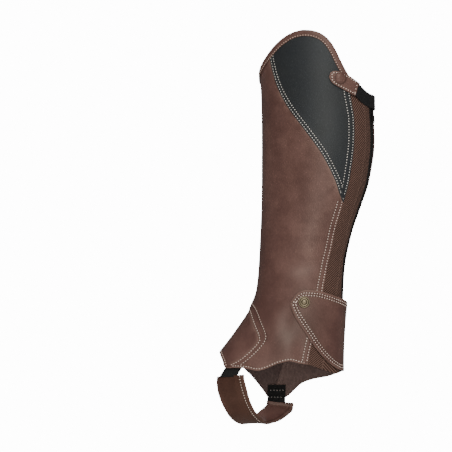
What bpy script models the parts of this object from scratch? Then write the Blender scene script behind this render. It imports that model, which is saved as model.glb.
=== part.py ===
# A leather half chap for the left leg, closed and filled out as if worn, with nothing inside.
#
# Metres, +Z up. The origin is on the leg's axis at the fullest part of the calf.
# The shin and the toes point to -X, the outer (lateral) side of the leg to -Y.
#
# Every cloth piece is a wall on one leg form. A place on the form is given by two numbers:
# its turn round the leg in degrees, 0 at the shin, positive over the lateral side, negative
# over the medial side, 180 at the back, and its height in metres. A third number, out,
# moves it off the form along the form's normal.

import math

import bmesh
import bpy
from mathutils import Vector

MM = 0.001

SETTLING_STEPS = 40

# Clearance between two pieces that touch.
GAP = 0.3 * MM

# Inner and outer faces of each cloth wall, off the leg form.
LEATHER_WALL = (0.0, 1.8 * MM)
VAMP_WALL = (-0.7 * MM, 1.1 * MM)
INSERT_WALL = (0.2 * MM, 2.1 * MM)
ELASTIC_WALL = (-0.5 * MM, 1.3 * MM)
ZIP_TAPE_WALL = (-0.4 * MM, 0.8 * MM)
ZIP_CHAIN_WALL = (-0.4 * MM, 1.6 * MM)
STRAP_ELASTIC_WALL = (-2.5 * MM, -1.0 * MM)

# Overlaid pieces: thickness, and the clearance under them comes from what they lie on.
FLAP_THICK = 1.8 * MM
BAND_THICK = 1.5 * MM
TAB_THICK = 2.0 * MM
STRAP_THICK = 2.4 * MM

# Heights where the rows of a panel change from following its hem to level, and to the rim.
ANKLE_LINE = -185 * MM
KNEE_LINE = 38 * MM

# Rows in each of those three bands. The insert's tip is on a row, so its grade is a whole
# number of rows above the ankle line.
ROWS_PER_BAND = (11, 19, 6)
INSERT_TIP_GRADE = 1 + 9 / ROWS_PER_BAND[1]

# The leg form, a row for each section in mm. shin and calf are the front and back ends of
# the section along X, half is half its width, and egg is how much fuller it is in front.
FORM = (
    # height, shin, calf, half, egg
    (-330, -170.0, 28.0, 40.0, -0.12),
    (-267, -123.6, 28.7, 38.5, -0.12),
    (-240, -103.3, 29.3, 36.8, -0.10),
    (-209, -83.4, 29.6, 35.2, -0.08),
    (-188, -75.9, 30.0, 34.5, -0.06),
    (-162, -73.0, 31.6, 35.0, -0.06),
    (-117, -70.6, 40.4, 39.5, -0.08),
    (-82, -69.2, 52.2, 43.5, -0.10),
    (-48, -68.8, 63.0, 47.0, -0.12),
    (0, -68.7, 69.2, 50.5, -0.12),
    (50, -69.4, 67.5, 51.5, -0.10),
    (85, -71.2, 68.2, 53.0, -0.10),
    (150, -72.5, 69.0, 54.0, -0.10),
)

# The soft folds of the worn leather, in mm and degrees: where the middle is, how far it
# reaches round the leg and up it, how much it leans, and its depth, negative for a trough.
FOLDS = (
    # turn, height, round, tall, lean, depth
    (88, -158, 26, 11, 0.25, -1.6),
    (70, -176, 24, 9, 0.35, 1.2),
    (62, -206, 22, 12, 0.60, -1.5),
    (96, -262, 14, 22, -0.35, 2.2),
    (108, -266, 9, 20, -0.35, -1.6),
    (-76, -226, 7, 34, 0.00, -1.8),
    (-96, -236, 8, 40, 0.00, -1.5),
    (-110, -170, 20, 12, -0.30, -1.4),
    (-60, -164, 24, 10, -0.20, -1.1),
    (-40, -60, 20, 42, 0.00, 0.9),
    (150, -150, 18, 9, 0.10, -1.0),
    (152, -118, 18, 10, 0.10, 0.8),
)

# The top edge, all the way round.
RIM = (
    # turn, height in mm
    (-180, 48.0), (-155, 52.0), (-131, 58.0), (-114, 64.5), (-101, 68.5), (-85, 69.5),
    (-67, 69.0), (-49, 69.0), (-29, 72.0), (-12, 77.5), (0, 83.0), (12, 90.0),
    (27, 100.6), (36.5, 108.7), (44, 115.3), (51, 121.0), (57, 125.2), (62.5, 128.4),
    (68, 130.6), (76, 132.2), (83, 131.7), (88, 130.3), (93, 127.8), (98, 123.5),
    (103, 116.8), (108, 106.9), (113, 94.8), (118.7, 83.0), (125, 72.5), (135, 62.5),
    (155, 53.0), (180, 48.0),
)

# The bottom edge, all the way round.
HEM = (
    # turn, height in mm
    (-180, -289.0), (-171, -289.7), (-157, -291.8), (-148, -294.0), (-141, -295.5),
    (-130, -297.4), (-120, -301.2), (-116, -304.6), (-112.5, -310.6), (-109.5, -316.8),
    (-106, -321.5), (-102, -324.0), (-98, -324.4), (-93, -320.8), (-89.6, -315.3),
    (-84, -307.4), (-77.3, -299.1), (-71, -292.2), (-64, -286.4), (-52, -274.0),
    (-41, -266.0), (-20, -264.0), (0, -265.6), (14, -268.6), (24, -272.8), (33, -278.4),
    (42, -286.0), (47, -287.5), (55, -287.2), (65, -288.0), (72, -290.1), (77, -290.8),
    (81, -289.6), (86.7, -285.7), (93.3, -281.5), (101.4, -279.1), (111, -281.8),
    (120.7, -283.5), (131.8, -287.6), (144.8, -291.4), (157, -293.4), (168, -291.0),
    (180, -289.0),
)

# Seams, each from the hem up: the turn at which the seam stands at each height in mm.
MEDIAL_SEAM = ((-330, -98), (-280, -97), (-240, -95), (-190, -91), (-100, -87), (0, -86), (150, -86))
VAMP_MEDIAL = ((-275, -47), (-264, -47), (-249, -46.5), (-234, -47.5), (-216, -45), (-192, -41))
VAMP_LATERAL = (
    (-292, 37.0), (-287, 41.5), (-283.5, 45.5), (-281.3, 49.0), (-278.5, 52.5),
    (-274.3, 55.8), (-269, 58.6), (-264, 60.8), (-258, 62.6), (-254, 63.1), (-250.5, 61.2),
    (-243.3, 55.0), (-233, 43.6), (-225.2, 33.0), (-218, 20.2), (-212.5, 3.0),
    (-205, -15.0), (-198, -29.0), (-192, -41.0),
)
LATERAL_SEAM = (
    (-300, 118.7), (-254, 118.9), (-222, 120.3), (-190, 122.3), (-163, 126.2),
    (-134, 128.9), (-80, 128.9), (-40, 128.8), (0, 129.3), (22, 129.7), (41, 127.6),
    (56, 125.2), (85, 122.5), (150, 121.0),
)
INSERT_FRONT = (
    (-79.3, 127.4), (-68.5, 119.3), (-55, 112.0), (-42.2, 105.1), (-20.6, 93.5),
    (-0.4, 81.4), (21.7, 68.0), (31.3, 61.8), (47.4, 52.7), (58.4, 47.3), (74.1, 41.5),
    (92.4, 36.6), (110, 33.0), (135, 28.5),
)
ELASTIC_BACK = ((-300, 164), (-190, 164), (-75, 163.5), (0, 158.5), (150, 157))

# The zip runs up just to the lateral side of the back's middle.
CHAIN_FRONT = ((-300, 171), (-190, 170), (-75, 169), (0, 164.5), (150, 164))
CHAIN_BACK = ((-300, 178.5), (-190, 177), (-75, 175), (0, 170.0), (150, 169.5))
BACK_EDGE = ((-300, 187), (-190, 184.5), (-75, 182), (0, 178.0), (150, 177.5))
VAMP_PEAK_TURN = -41.0
VAMP_PEAK = -192 * MM

# The wrap at the ankle: its upper and lower edges, from the base on the medial back edge
# round the heel to its rounded end on the lateral side.
FLAP_TOP = (
    # turn, height in mm
    (82, -203.5), (83.5, -200.0), (86.2, -196.0), (91.8, -191.8), (97.3, -190.4),
    (112, -191.0), (130, -194.3), (146, -197.9), (160, -200.8), (172, -202.8),
    (180, -203.6), (208, -206.5),
)
FLAP_FOOT = (
    (82, -209.0), (85, -214.6), (90.5, -222.2), (101, -235.0), (112, -248.3),
    (121.5, -260.3), (134.3, -274.2), (148.5, -284.4), (161.5, -288.6), (172, -289.2),
    (180, -289.2), (208, -289.2),
)
FLAP_TIP_TURN = 82.0
FLAP_BASE_TURN = 207.0
FLAP_SEAT = 2.1 * MM
FLAP_PROUD = 3.4 * MM
FLAP_PROUD_TURN = 170.0
FLAP_PROUD_HEIGHT = -198 * MM

SNAP_TURN = 98.2
SNAP_HEIGHT = -205.6 * MM
SNAP_RADIUS = 7.2 * MM
SNAP_RISE = 2.4 * MM

# The top fastening. The middle line of the tab and of the band, and their half widths.
TAB_LINE = (
    # turn, height, half width in mm
    (102.6, 78.6, 1.6), (103.6, 78.0, 4.2), (105.5, 76.8, 6.4), (109, 74.4, 8.4),
    (114, 71.4, 9.1), (120, 68.0, 9.3), (127, 63.7, 8.9), (132.6, 60.3, 8.5),
)
BAND_LINE = (
    (133.4, 59.8, 8.0), (146.0, 51.6, 8.4), (160.0, 47.5, 8.6), (177.4, 45.4, 8.4),
)
BUMP_TURN = 113.3
BUMP_HEIGHT = 74.0 * MM
BUMP_RADIUS = 6.4 * MM
BUMP_RISE = 2.0 * MM
TAB_SEAT = 3.7 * MM
BAND_SEAT = (
    # turn, out in mm: under the tab, on the elastic, over the pull, into the back edge
    (133.4, 3.7), (143, 1.6), (156, 1.6), (162.5, 3.7), (171, 3.7), (175, 1.6), (177.4, 1.1),
)

# The slider sits at the top of the chain, and its pull lies up under the band.
SLIDER_TURN = 167.0
SLIDER_HEIGHT = 26 * MM
SLIDER_SIZE = (7.4 * MM, 9.0 * MM, 1.9 * MM)
PULL_SIZE = (4.6 * MM, 17.0 * MM, 1.1 * MM)

# The binding is folded over the top edge, a leg down each side.
BINDING_LEG = 6.0 * MM
BINDING_WALL = 0.9 * MM
BINDING_OUTER = 2.4 * MM
BINDING_INNER = -0.8 * MM
BINDING_OVER = 1.3 * MM
BINDING_ENDS = (-180.8, 124.8)

# The foot strap, from the lateral elastic down under the foot and up to the medial point.
STRAP_LINE = (
    # x, y, z and width in mm, and the angle in plan that its width makes with X
    (-109.4, -26.8, -296.4, 37.0, -24),
    (-109.2, -27.8, -305.5, 37.5, -20),
    (-106.3, -28.2, -318.0, 37.0, -12),
    (-101.0, -24.0, -332.5, 34.5, -4),
    (-92.5, -14.5, -345.5, 32.5, 0),
    (-80.5, 0.0, -353.0, 31.0, 0),
    (-68.5, 14.5, -349.0, 31.0, 1),
    (-55.8, 27.0, -340.8, 32.3, 2),
    (-48.0, 35.8, -332.5, 33.0, 0),
    (-47.5, 38.2, -324.95, 33.5, -1),
)
STRAP_STEPS = 26
BINDING_STEPS = 64
STRAP_CROWN = 0.9 * MM

# The elastics that hold the strap: turn at each side, at the lower end and at the upper one,
# and the heights of those ends in mm.
SIDE_ELASTIC = (41.5, 60.0, 40.5, 60.5, -295.3, -266.0)
INNER_ELASTIC = (-107.4, -93.8, -104.0, -89.5, -324.6, -305.0)
INNER_ELASTIC_WALL = (-2.0 * MM, -0.3 * MM)

COLOURS = {
    "brown_leather": (0.140, 0.066, 0.050),
    "black_leather": (0.030, 0.031, 0.033),
    "brown_elastic": (0.125, 0.062, 0.042),
    "black_elastic": (0.013, 0.012, 0.012),
    "aged_brass": (0.210, 0.170, 0.095),
    "dark_metal": (0.060, 0.055, 0.050),
}


def secant(rows, k, column):
    """Slope of the straight line from one row of a table to the next."""
    return (rows[k + 1][column] - rows[k][column]) / (rows[k + 1][0] - rows[k][0])


def tangent(rows, k, column):
    """Slope of the smooth curve at a row. It never overshoots a row, and is 0 at a peak."""
    if k == 0 or k == len(rows) - 1:
        return secant(rows, min(k, len(rows) - 2), column)
    before, after = secant(rows, k - 1, column), secant(rows, k, column)
    if before * after <= 0:
        return 0.0
    return 2 * before * after / (before + after)


def read_table(rows, at, column=1):
    """Read a smooth curve through a table's rows at one place of its first column."""
    if at <= rows[0][0]:
        return rows[0][column]
    if at >= rows[-1][0]:
        return rows[-1][column]
    i = 0
    while rows[i + 1][0] < at:
        i += 1
    span = rows[i + 1][0] - rows[i][0]
    u = (at - rows[i][0]) / span
    return (
        (1 + 2 * u) * (1 - u) ** 2 * rows[i][column]
        + u * (1 - u) ** 2 * span * tangent(rows, i, column)
        + u * u * (3 - 2 * u) * rows[i + 1][column]
        + u * u * (u - 1) * span * tangent(rows, i + 1, column)
    )


def signed(turn):
    """The same turn, between -180 and 180."""
    return (turn + 180.0) % 360.0 - 180.0


def rim(turn):
    return read_table(RIM, signed(turn)) * MM


def hem(turn):
    return read_table(HEM, signed(turn)) * MM


def seam(table):
    """A seam's turn as a function of height."""
    return lambda height: read_table(table, height / MM)


def bare_form(turn, height):
    """A point of the leg form, without folds."""
    at = height / MM
    shin, calf, half, egg = (read_table(FORM, at, column) for column in (1, 2, 3, 4))
    ahead = math.cos(math.radians(turn))
    aside = math.sin(math.radians(turn))
    x = (shin + calf) / 2 - (calf - shin) / 2 * ahead
    y = -half * aside * (1 + egg * ahead)
    return Vector((x * MM, y * MM, height))


def fold_depth(turn, height):
    """How far the folds move the leather in or out at one place."""
    total = 0.0
    for middle, level, round_, tall, lean, depth in FOLDS:
        rise = height / MM - level
        across = (signed(turn - middle) - lean * rise) / round_
        total += depth * MM * math.exp(-across * across - (rise / tall) ** 2)
    return total


def form_normal(turn, height):
    step = 0.5
    round_leg = bare_form(turn + step, height) - bare_form(turn - step, height)
    up_leg = bare_form(turn, height + step * MM) - bare_form(turn, height - step * MM)
    return round_leg.cross(up_leg).normalized()


def on_leg(turn, height, out):
    """A point of the worn leather's form, moved out along the normal."""
    return bare_form(turn, height) + form_normal(turn, height) * (out + fold_depth(turn, height))


def per_degree(turn, height):
    """Length round the leg of one degree of turn."""
    return (bare_form(turn + 0.5, height) - bare_form(turn - 0.5, height)).length


def level(turn, grade):
    """Height of a panel's row: grade 0 is the hem, 1 the ankle, 2 the knee line, 3 the rim."""
    if grade <= 1:
        return hem(turn) + (ANKLE_LINE - hem(turn)) * grade
    if grade <= 2:
        return ANKLE_LINE + (KNEE_LINE - ANKLE_LINE) * (grade - 1)
    return KNEE_LINE + (rim(turn) - KNEE_LINE) * (grade - 2)


def clearance(line, height):
    """Turn that holds the clearance square to a seam, which may lean."""
    scale = per_degree(line(height), height)
    lean = (line(height + MM) - line(height - MM)) / (2 * MM) * scale
    return GAP / scale * math.sqrt(1 + lean * lean)


def meet(first, second, share, grade, first_gap=0.5, second_gap=0.5):
    """Turn and height where a row crosses a line that lies between two seams.

    The seams lean and the rows rise and fall, so the place is found by repeated steps.
    """
    turn = (first(0.0) + second(0.0)) / 2
    height = 0.0
    for _ in range(SETTLING_STEPS):
        height = 0.5 * height + 0.5 * level(turn, grade)
        start = first(height) + first_gap * clearance(first, height)
        end = second(height) - second_gap * clearance(second, height)
        turn = start + (end - start) * share
    return turn, height


def rows_between(start, end):
    """The rows that all panels share from one grade to another, with both ends."""
    shared = [
        band + k / count for band, count in enumerate(ROWS_PER_BAND) for k in range(count)
    ]
    return [start] + [grade for grade in shared if start + 0.02 < grade < end - 0.02] + [end]


def coloured(name, colour, rough=0.6, metallic=0.0):
    material = bpy.data.materials.new(name + "_finish")
    material.use_nodes = True
    shader = material.node_tree.nodes["Principled BSDF"]
    shader.inputs["Base Color"].default_value = (*COLOURS[colour], 1.0)
    shader.inputs["Roughness"].default_value = rough
    shader.inputs["Metallic"].default_value = metallic
    return material


def finish_object(name, form, colour, rough=0.6, metallic=0.0):
    """Turn a bmesh into a smooth-shaded object with its own material."""
    bmesh.ops.recalc_face_normals(form, faces=form.faces)
    mesh = bpy.data.meshes.new(name)
    form.to_mesh(mesh)
    form.free()
    mesh.shade_smooth()
    mesh.set_sharp_from_angle(angle=math.radians(40))
    mesh.materials.append(coloured(name, colour, rough, metallic))
    piece = bpy.data.objects.new(name, mesh)
    bpy.context.scene.collection.objects.link(piece)
    return piece


def wall(name, places, cells, inner, outer, colour):
    """A closed wall over a net of places.

    places maps a key to a turn and height, cells are four keys each, and inner and outer
    are offsets, or functions of turn and height.
    """
    form = bmesh.new()
    sides = []
    for offset in (outer, inner):
        corner = {}
        for key, (turn, height) in places.items():
            out = offset(turn, height) if callable(offset) else offset
            corner[key] = form.verts.new(on_leg(turn, height, out))
        sides.append(corner)
    front, back = sides
    edges = {}
    for cell in cells:
        form.faces.new([front[key] for key in cell])
        form.faces.new([back[key] for key in reversed(cell)])
        for start, end in zip(cell, cell[1:] + cell[:1]):
            if (end, start) in edges:
                del edges[(end, start)]
            else:
                edges[(start, end)] = True
    for start, end in edges:
        form.faces.new([front[end], front[start], back[start], back[end]])
    return finish_object(name, form, colour)


def net_cells(rows, columns, key=lambda row, column: (row, column)):
    """The four corners of each cell of a net."""
    return [
        (key(r, c), key(r, c + 1), key(r + 1, c + 1), key(r + 1, c))
        for r in range(rows)
        for c in range(columns)
    ]


def panel(name, first, second, rows, columns, faces, colour, first_gap=0.5, second_gap=0.5):
    """A plain panel between two seams."""
    places = {
        (r, c): meet(first, second, c / columns, grade, first_gap, second_gap)
        for r, grade in enumerate(rows)
        for c in range(columns + 1)
    }
    cells = net_cells(len(rows) - 1, columns)
    return wall(name, places, cells, faces[0], faces[1], colour)


def vamp_rows():
    """Rows from the hem to the vamp's peak, shared by the vamp and the front panel."""
    foot = hem(VAMP_PEAK_TURN)
    peak = (VAMP_PEAK - foot) / (ANKLE_LINE - foot)
    count = ROWS_PER_BAND[0]
    return [peak * k / count for k in range(count + 1)]


INSERT_TIP = ANKLE_LINE + (KNEE_LINE - ANKLE_LINE) * (INSERT_TIP_GRADE - 1)


def front_seam(height):
    """The front panel's lateral edge: the insert's edge above its tip, the seam below."""
    if height >= INSERT_TIP - GAP:
        return min(seam(INSERT_FRONT)(height), seam(LATERAL_SEAM)(height))
    return seam(LATERAL_SEAM)(height)


def front_panel():
    """The main panel. Below the vamp's peak it is two legs, one on each side of the vamp."""
    low_rows = vamp_rows()
    rows = low_rows + rows_between(low_rows[-1], 3.0)[1:]
    peak_row = len(low_rows) - 1
    medial_columns, lateral_columns = 5, 16
    places = {}

    def key(side):
        def name(row, column):
            shared = column == 0 and row >= peak_row
            return (row, 0) if shared else (row, side * (column + (0.5 if column == 0 else 0)))
        return name

    lateral, medial = key(1), key(-1)
    for r, grade in enumerate(rows):
        split_gap = 0.5 if r < peak_row else 0.0
        for c in range(lateral_columns + 1):
            places[lateral(r, c)] = meet(
                seam(VAMP_LATERAL), front_seam, c / lateral_columns, grade, split_gap, 0.5
            )
        for c in range(medial_columns + 1):
            places[medial(r, c)] = meet(
                seam(MEDIAL_SEAM), seam(VAMP_MEDIAL), 1 - c / medial_columns, grade, 0.5, split_gap
            )
    cells = net_cells(len(rows) - 1, lateral_columns, lateral)
    cells += [
        (d, c, b, a) for a, b, c, d in net_cells(len(rows) - 1, medial_columns, medial)
    ]
    wall("front_panel", places, cells, *LEATHER_WALL, "brown_leather")


def vamp():
    rows = vamp_rows()[:-1]
    top = rows[-1] + (vamp_rows()[-1] - rows[-1]) * 0.72
    panel(
        "vamp", seam(VAMP_MEDIAL), seam(VAMP_LATERAL), rows + [top], 12, VAMP_WALL,
        "brown_leather", first_gap=1.2, second_gap=1.2,
    )


def insert():
    rows = rows_between(INSERT_TIP_GRADE, 3.0)
    panel("insert", front_seam, seam(LATERAL_SEAM), rows, 17, INSERT_WALL, "black_leather")


def back_pieces():
    """The stretch panel, the zip and the medial back panel."""
    rows = rows_between(0.0, 3.0)
    strips = (
        ("elastic_panel", LATERAL_SEAM, ELASTIC_BACK, 4, ELASTIC_WALL, "brown_elastic"),
        ("zip_tape_side", ELASTIC_BACK, CHAIN_FRONT, 1, ZIP_TAPE_WALL, "black_elastic"),
        ("zip_chain", CHAIN_FRONT, CHAIN_BACK, 1, ZIP_CHAIN_WALL, "dark_metal"),
        ("zip_tape_back", CHAIN_BACK, BACK_EDGE, 1, ZIP_TAPE_WALL, "black_elastic"),
    )
    for name, first, second, columns, faces, colour in strips:
        panel(name, seam(first), seam(second), rows, columns, faces, colour)

    def back_edge(height):
        return seam(BACK_EDGE)(height) - 360.0

    panel("back_panel", back_edge, seam(MEDIAL_SEAM), rows, 10, LEATHER_WALL, "brown_leather")


def flap_seat(turn, height):
    """The flap's inner face: on the panels, and standing proud over the zip at its top."""
    across = (turn % 360.0 - FLAP_PROUD_TURN) / 26.0
    rise = (height - FLAP_PROUD_HEIGHT) / (34 * MM)
    return FLAP_SEAT + FLAP_PROUD * math.exp(-across * across - rise * rise)


def flap():
    """The ankle wrap, a net between its upper and lower edges."""
    rows, columns = 8, 22
    places = {}
    for c in range(columns + 1):
        share = (c / columns) ** 1.25
        turn = FLAP_TIP_TURN + (FLAP_BASE_TURN - FLAP_TIP_TURN) * share
        low, high = read_table(FLAP_FOOT, turn) * MM, read_table(FLAP_TOP, turn) * MM
        for r in range(rows + 1):
            places[(r, c)] = (turn, low + (high - low) * r / rows)
    wall(
        "flap", places, net_cells(rows, columns), flap_seat,
        lambda turn, height: flap_seat(turn, height) + FLAP_THICK, "brown_leather",
    )


def stand_on(turn, height, out):
    """A place on the leg with its directions: round the leg, up it and out of it."""
    outward = form_normal(turn, height)
    round_leg = (bare_form(turn + 0.5, height) - bare_form(turn - 0.5, height)).normalized()
    up_leg = outward.cross(round_leg).normalized()
    return on_leg(turn, height, out), round_leg, up_leg, outward


def snap_cap():
    """A turned cap: flat back, rolled edge and a shallow dome."""
    out = flap_seat(SNAP_TURN, SNAP_HEIGHT) + FLAP_THICK + GAP
    middle, across, _, outward = stand_on(SNAP_TURN, SNAP_HEIGHT, out)
    profile = (
        # share of the radius, share of the rise
        (0.90, 0.0), (1.0, 0.18), (1.0, 0.42), (0.93, 0.66), (0.82, 0.70),
        (0.66, 0.84), (0.34, 0.97),
    )
    form = bmesh.new()
    hub = form.verts.new(middle)
    rings = [hub]
    line = [
        form.verts.new(middle + across * SNAP_RADIUS * r + outward * SNAP_RISE * h)
        for r, h in profile
    ]
    crown = form.verts.new(middle + outward * SNAP_RISE)
    edges = [form.edges.new(pair) for pair in zip(rings + line, line + [crown])]
    bmesh.ops.spin(
        form, geom=edges + [hub, crown] + line, cent=middle, axis=outward,
        angle=math.tau, steps=20, use_merge=True,
    )
    bmesh.ops.remove_doubles(form, verts=form.verts, dist=0.01 * MM)
    finish_object("snap_cap", form, "aged_brass", 0.35, 1.0)


def ribbon_places(line, columns, steps):
    """A net of places along a line on the leg, its half width to each side."""
    places = {}
    first, last = line[0][0], line[-1][0]
    for c in range(steps + 1):
        turn = first + (last - first) * c / steps
        height, half = read_table(line, turn), read_table(line, turn, 2)
        ahead = read_table(line, min(turn + 0.5, last)) - read_table(line, max(turn - 0.5, first))
        length = per_degree(turn, height * MM) / MM
        span = (min(turn + 0.5, last) - max(turn - 0.5, first)) * length
        size = math.hypot(span, ahead)
        for r in range(columns + 1):
            side = half * (2 * r / columns - 1)
            shift = -side * ahead / size / length
            places[(r, c)] = (turn + shift, (height + side * span / size) * MM)
    return places


def band_seat(turn, height):
    """The band lies on the elastic, rises over the slider's pull and meets the back edge."""
    return read_table(BAND_SEAT, turn) * MM


def tab_top(turn, height):
    """The tab's outer face with the round bump of its covered snap."""
    across = signed(turn - BUMP_TURN) * per_degree(turn, height)
    away = math.hypot(across, height - BUMP_HEIGHT) / BUMP_RADIUS
    return TAB_SEAT + TAB_THICK + BUMP_RISE * math.exp(-away ** 4)


def top_fastening():
    columns, steps = 8, 18
    wall(
        "top_tab", ribbon_places(TAB_LINE, columns, steps), net_cells(columns, steps),
        TAB_SEAT, tab_top, "brown_leather",
    )
    columns, steps = 4, 16
    wall(
        "top_band", ribbon_places(BAND_LINE, columns, steps), net_cells(columns, steps),
        band_seat, lambda turn, height: band_seat(turn, height) + BAND_THICK, "black_elastic",
    )


def block(form, middle, across, upward, outward, size):
    """A box with its middle on its inner face, as eight new corners of a bmesh."""
    made = bmesh.ops.create_cube(form, size=1.0)["verts"]
    for corner in made:
        share = corner.co.copy()
        corner.co = (
            middle
            + across * share.x * size[0]
            + upward * share.y * size[1]
            + outward * (share.z + 0.5) * size[2]
        )
    return made


def zip_slider():
    """The slider's body on the chain and its pull, as one solid."""
    out = ZIP_CHAIN_WALL[1] + GAP
    middle, across, upward, outward = stand_on(SLIDER_TURN, SLIDER_HEIGHT, out)
    form = bmesh.new()
    body = block(form, middle, across, upward, outward, SLIDER_SIZE)
    edges = [edge for edge in form.edges if edge.verts[0] in body]
    bmesh.ops.bevel(
        form, geom=edges, offset=0.5 * MM, segments=1, profile=0.5, affect="EDGES", material=-1
    )
    reach = SLIDER_SIZE[1] / 2
    end = max(form.faces, key=lambda face: face.normal.dot(upward) * face.calc_area())
    bmesh.ops.inset_region(form, faces=[end], thickness=0.12 * MM)
    half = PULL_SIZE[0] / 2
    for corner in end.verts:
        share = corner.co - middle
        side = math.copysign(half, share.dot(across))
        rise = 0.35 * MM if share.dot(outward) < SLIDER_SIZE[2] / 2 else 0.35 * MM + PULL_SIZE[2]
        corner.co = middle + across * side + upward * reach + outward * rise
    pulled = bmesh.ops.extrude_face_region(form, geom=[end])
    bmesh.ops.delete(form, geom=[end], context="FACES_ONLY")
    for corner in pulled["geom"]:
        if isinstance(corner, bmesh.types.BMVert):
            corner.co += upward * PULL_SIZE[1]
    finish_object("zip_slider", form, "dark_metal", 0.4, 1.0)


def top_binding():
    """The folded binding, a U-shaped section carried round the top edge."""
    foot, shoulder, crown = -BINDING_LEG, -0.2 * MM, BINDING_OVER + BINDING_WALL
    outer, inner = BINDING_OUTER + BINDING_WALL, BINDING_INNER - BINDING_WALL
    skin = (
        # out of the leg, and above the panels' edge
        (outer, foot), (outer, shoulder), (outer - 0.7 * MM, crown),
        (inner + 0.7 * MM, crown), (inner, shoulder), (inner, foot),
    )
    lining = (
        (BINDING_OUTER, foot), (BINDING_OUTER, shoulder), (BINDING_OUTER, BINDING_OVER),
        (BINDING_INNER, BINDING_OVER), (BINDING_INNER, shoulder), (BINDING_INNER, foot),
    )
    section = skin + lining[::-1]
    form = bmesh.new()
    loops = []
    for k in range(BINDING_STEPS + 1):
        turn = BINDING_ENDS[0] + (BINDING_ENDS[1] - BINDING_ENDS[0]) * k / BINDING_STEPS
        height = rim(turn)
        ahead = (rim(turn + 1.0) - rim(turn - 1.0)) / 2
        length = per_degree(turn, height)
        size = math.hypot(length, ahead)
        slide, climb = -ahead / size / length, length / size
        loop = []
        for out, above in section:
            place = (turn + slide * above, height + climb * above)
            loop.append(form.verts.new(on_leg(*place, out)))
        loops.append(loop)
    carry(form, loops, len(skin))
    finish_object("top_binding", form, "brown_leather")


def carry(form, loops, half):
    """Join section loops into a solid. Each loop's two halves face each other at its ends."""
    count = len(loops[0])
    for near, far in zip(loops, loops[1:]):
        for k in range(count):
            form.faces.new((near[k], near[(k + 1) % count], far[(k + 1) % count], far[k]))
    for end in (loops[0], loops[-1]):
        for k in range(half - 1):
            form.faces.new((end[k], end[k + 1], end[-2 - k], end[-1 - k]))


def along(rows, share):
    """A smooth read of every column of a line's rows, share 0 to 1 along them."""
    at = share * (len(rows) - 1)
    i = min(int(at), len(rows) - 2)
    u = at - i
    before, start = rows[max(i - 1, 0)], rows[i]
    end, after = rows[i + 1], rows[min(i + 2, len(rows) - 1)]
    return [
        0.5 * (2 * b + (c - a) * u + (2 * a - 5 * b + 4 * c - d) * u * u
               + (3 * b - a - 3 * c + d) * u ** 3)
        for a, b, c, d in zip(before, start, end, after)
    ]


def strap_frame(share):
    """Middle of the strap, its width and thickness directions, and its width."""
    row = along(STRAP_LINE, share)
    step = 0.01
    ahead = Vector(along(STRAP_LINE, min(share + step, 1))[:3])
    ahead -= Vector(along(STRAP_LINE, max(share - step, 0))[:3])
    ahead.normalize()
    plan = math.radians(row[4])
    across = Vector((math.cos(plan), math.sin(plan), 0.0))
    across = (across - ahead * across.dot(ahead)).normalized()
    return Vector(row[:3]) * MM, across, ahead.cross(across).normalized(), row[3] * MM


def foot_strap():
    """The strap under the foot, a flat section carried along its line."""
    columns = 6
    form = bmesh.new()
    loops = []
    for k in range(STRAP_STEPS + 1):
        middle, across, outward, width = strap_frame(k / STRAP_STEPS)
        upper, lower = [], []
        for c in range(columns + 1):
            side = 2 * c / columns - 1
            crown = STRAP_CROWN * (1 - side * side) * math.sin(math.pi * k / STRAP_STEPS)
            place = middle + across * side * width / 2 + outward * crown
            upper.append(form.verts.new(place + outward * STRAP_THICK / 2))
            lower.append(form.verts.new(place - outward * STRAP_THICK / 2))
        loops.append(upper + lower[::-1])
    carry(form, loops, columns + 1)
    finish_object("foot_strap", form, "brown_leather")


def strap_elastics():
    """The two elastics, sewn inside the wall at the hem."""
    elastics = (
        ("strap_elastic_side", SIDE_ELASTIC, STRAP_ELASTIC_WALL),
        ("strap_elastic_inner", INNER_ELASTIC, INNER_ELASTIC_WALL),
    )
    columns, rows = 5, 6
    for name, (foot_first, foot_last, top_first, top_last, low, high), faces in elastics:
        places = {}
        for r in range(rows + 1):
            rise = r / rows
            first = foot_first + (top_first - foot_first) * rise
            last = foot_last + (top_last - foot_last) * rise
            for c in range(columns + 1):
                places[(r, c)] = (
                    first + (last - first) * c / columns,
                    (low + (high - low) * rise) * MM,
                )
        wall(name, places, net_cells(rows, columns), *faces, "black_elastic")


def clear_scene():
    for thing in list(bpy.data.objects):
        bpy.data.objects.remove(thing, do_unlink=True)


def build():
    clear_scene()
    front_panel()
    vamp()
    insert()
    back_pieces()
    flap()
    snap_cap()
    top_fastening()
    zip_slider()
    top_binding()
    foot_strap()
    strap_elastics()


build()
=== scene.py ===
# %% [markdown]
# # A leather half chap
#
# A half chap is a leather tube that a rider closes round the lower leg with a zip. This
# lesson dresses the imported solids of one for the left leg: leather with real seams and
# sewing, a woven stretch panel, a zip, a snap and a foot strap. The solids stay where they
# are, and each new piece stands for one of them.

# %% Load the frame
import math

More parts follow.
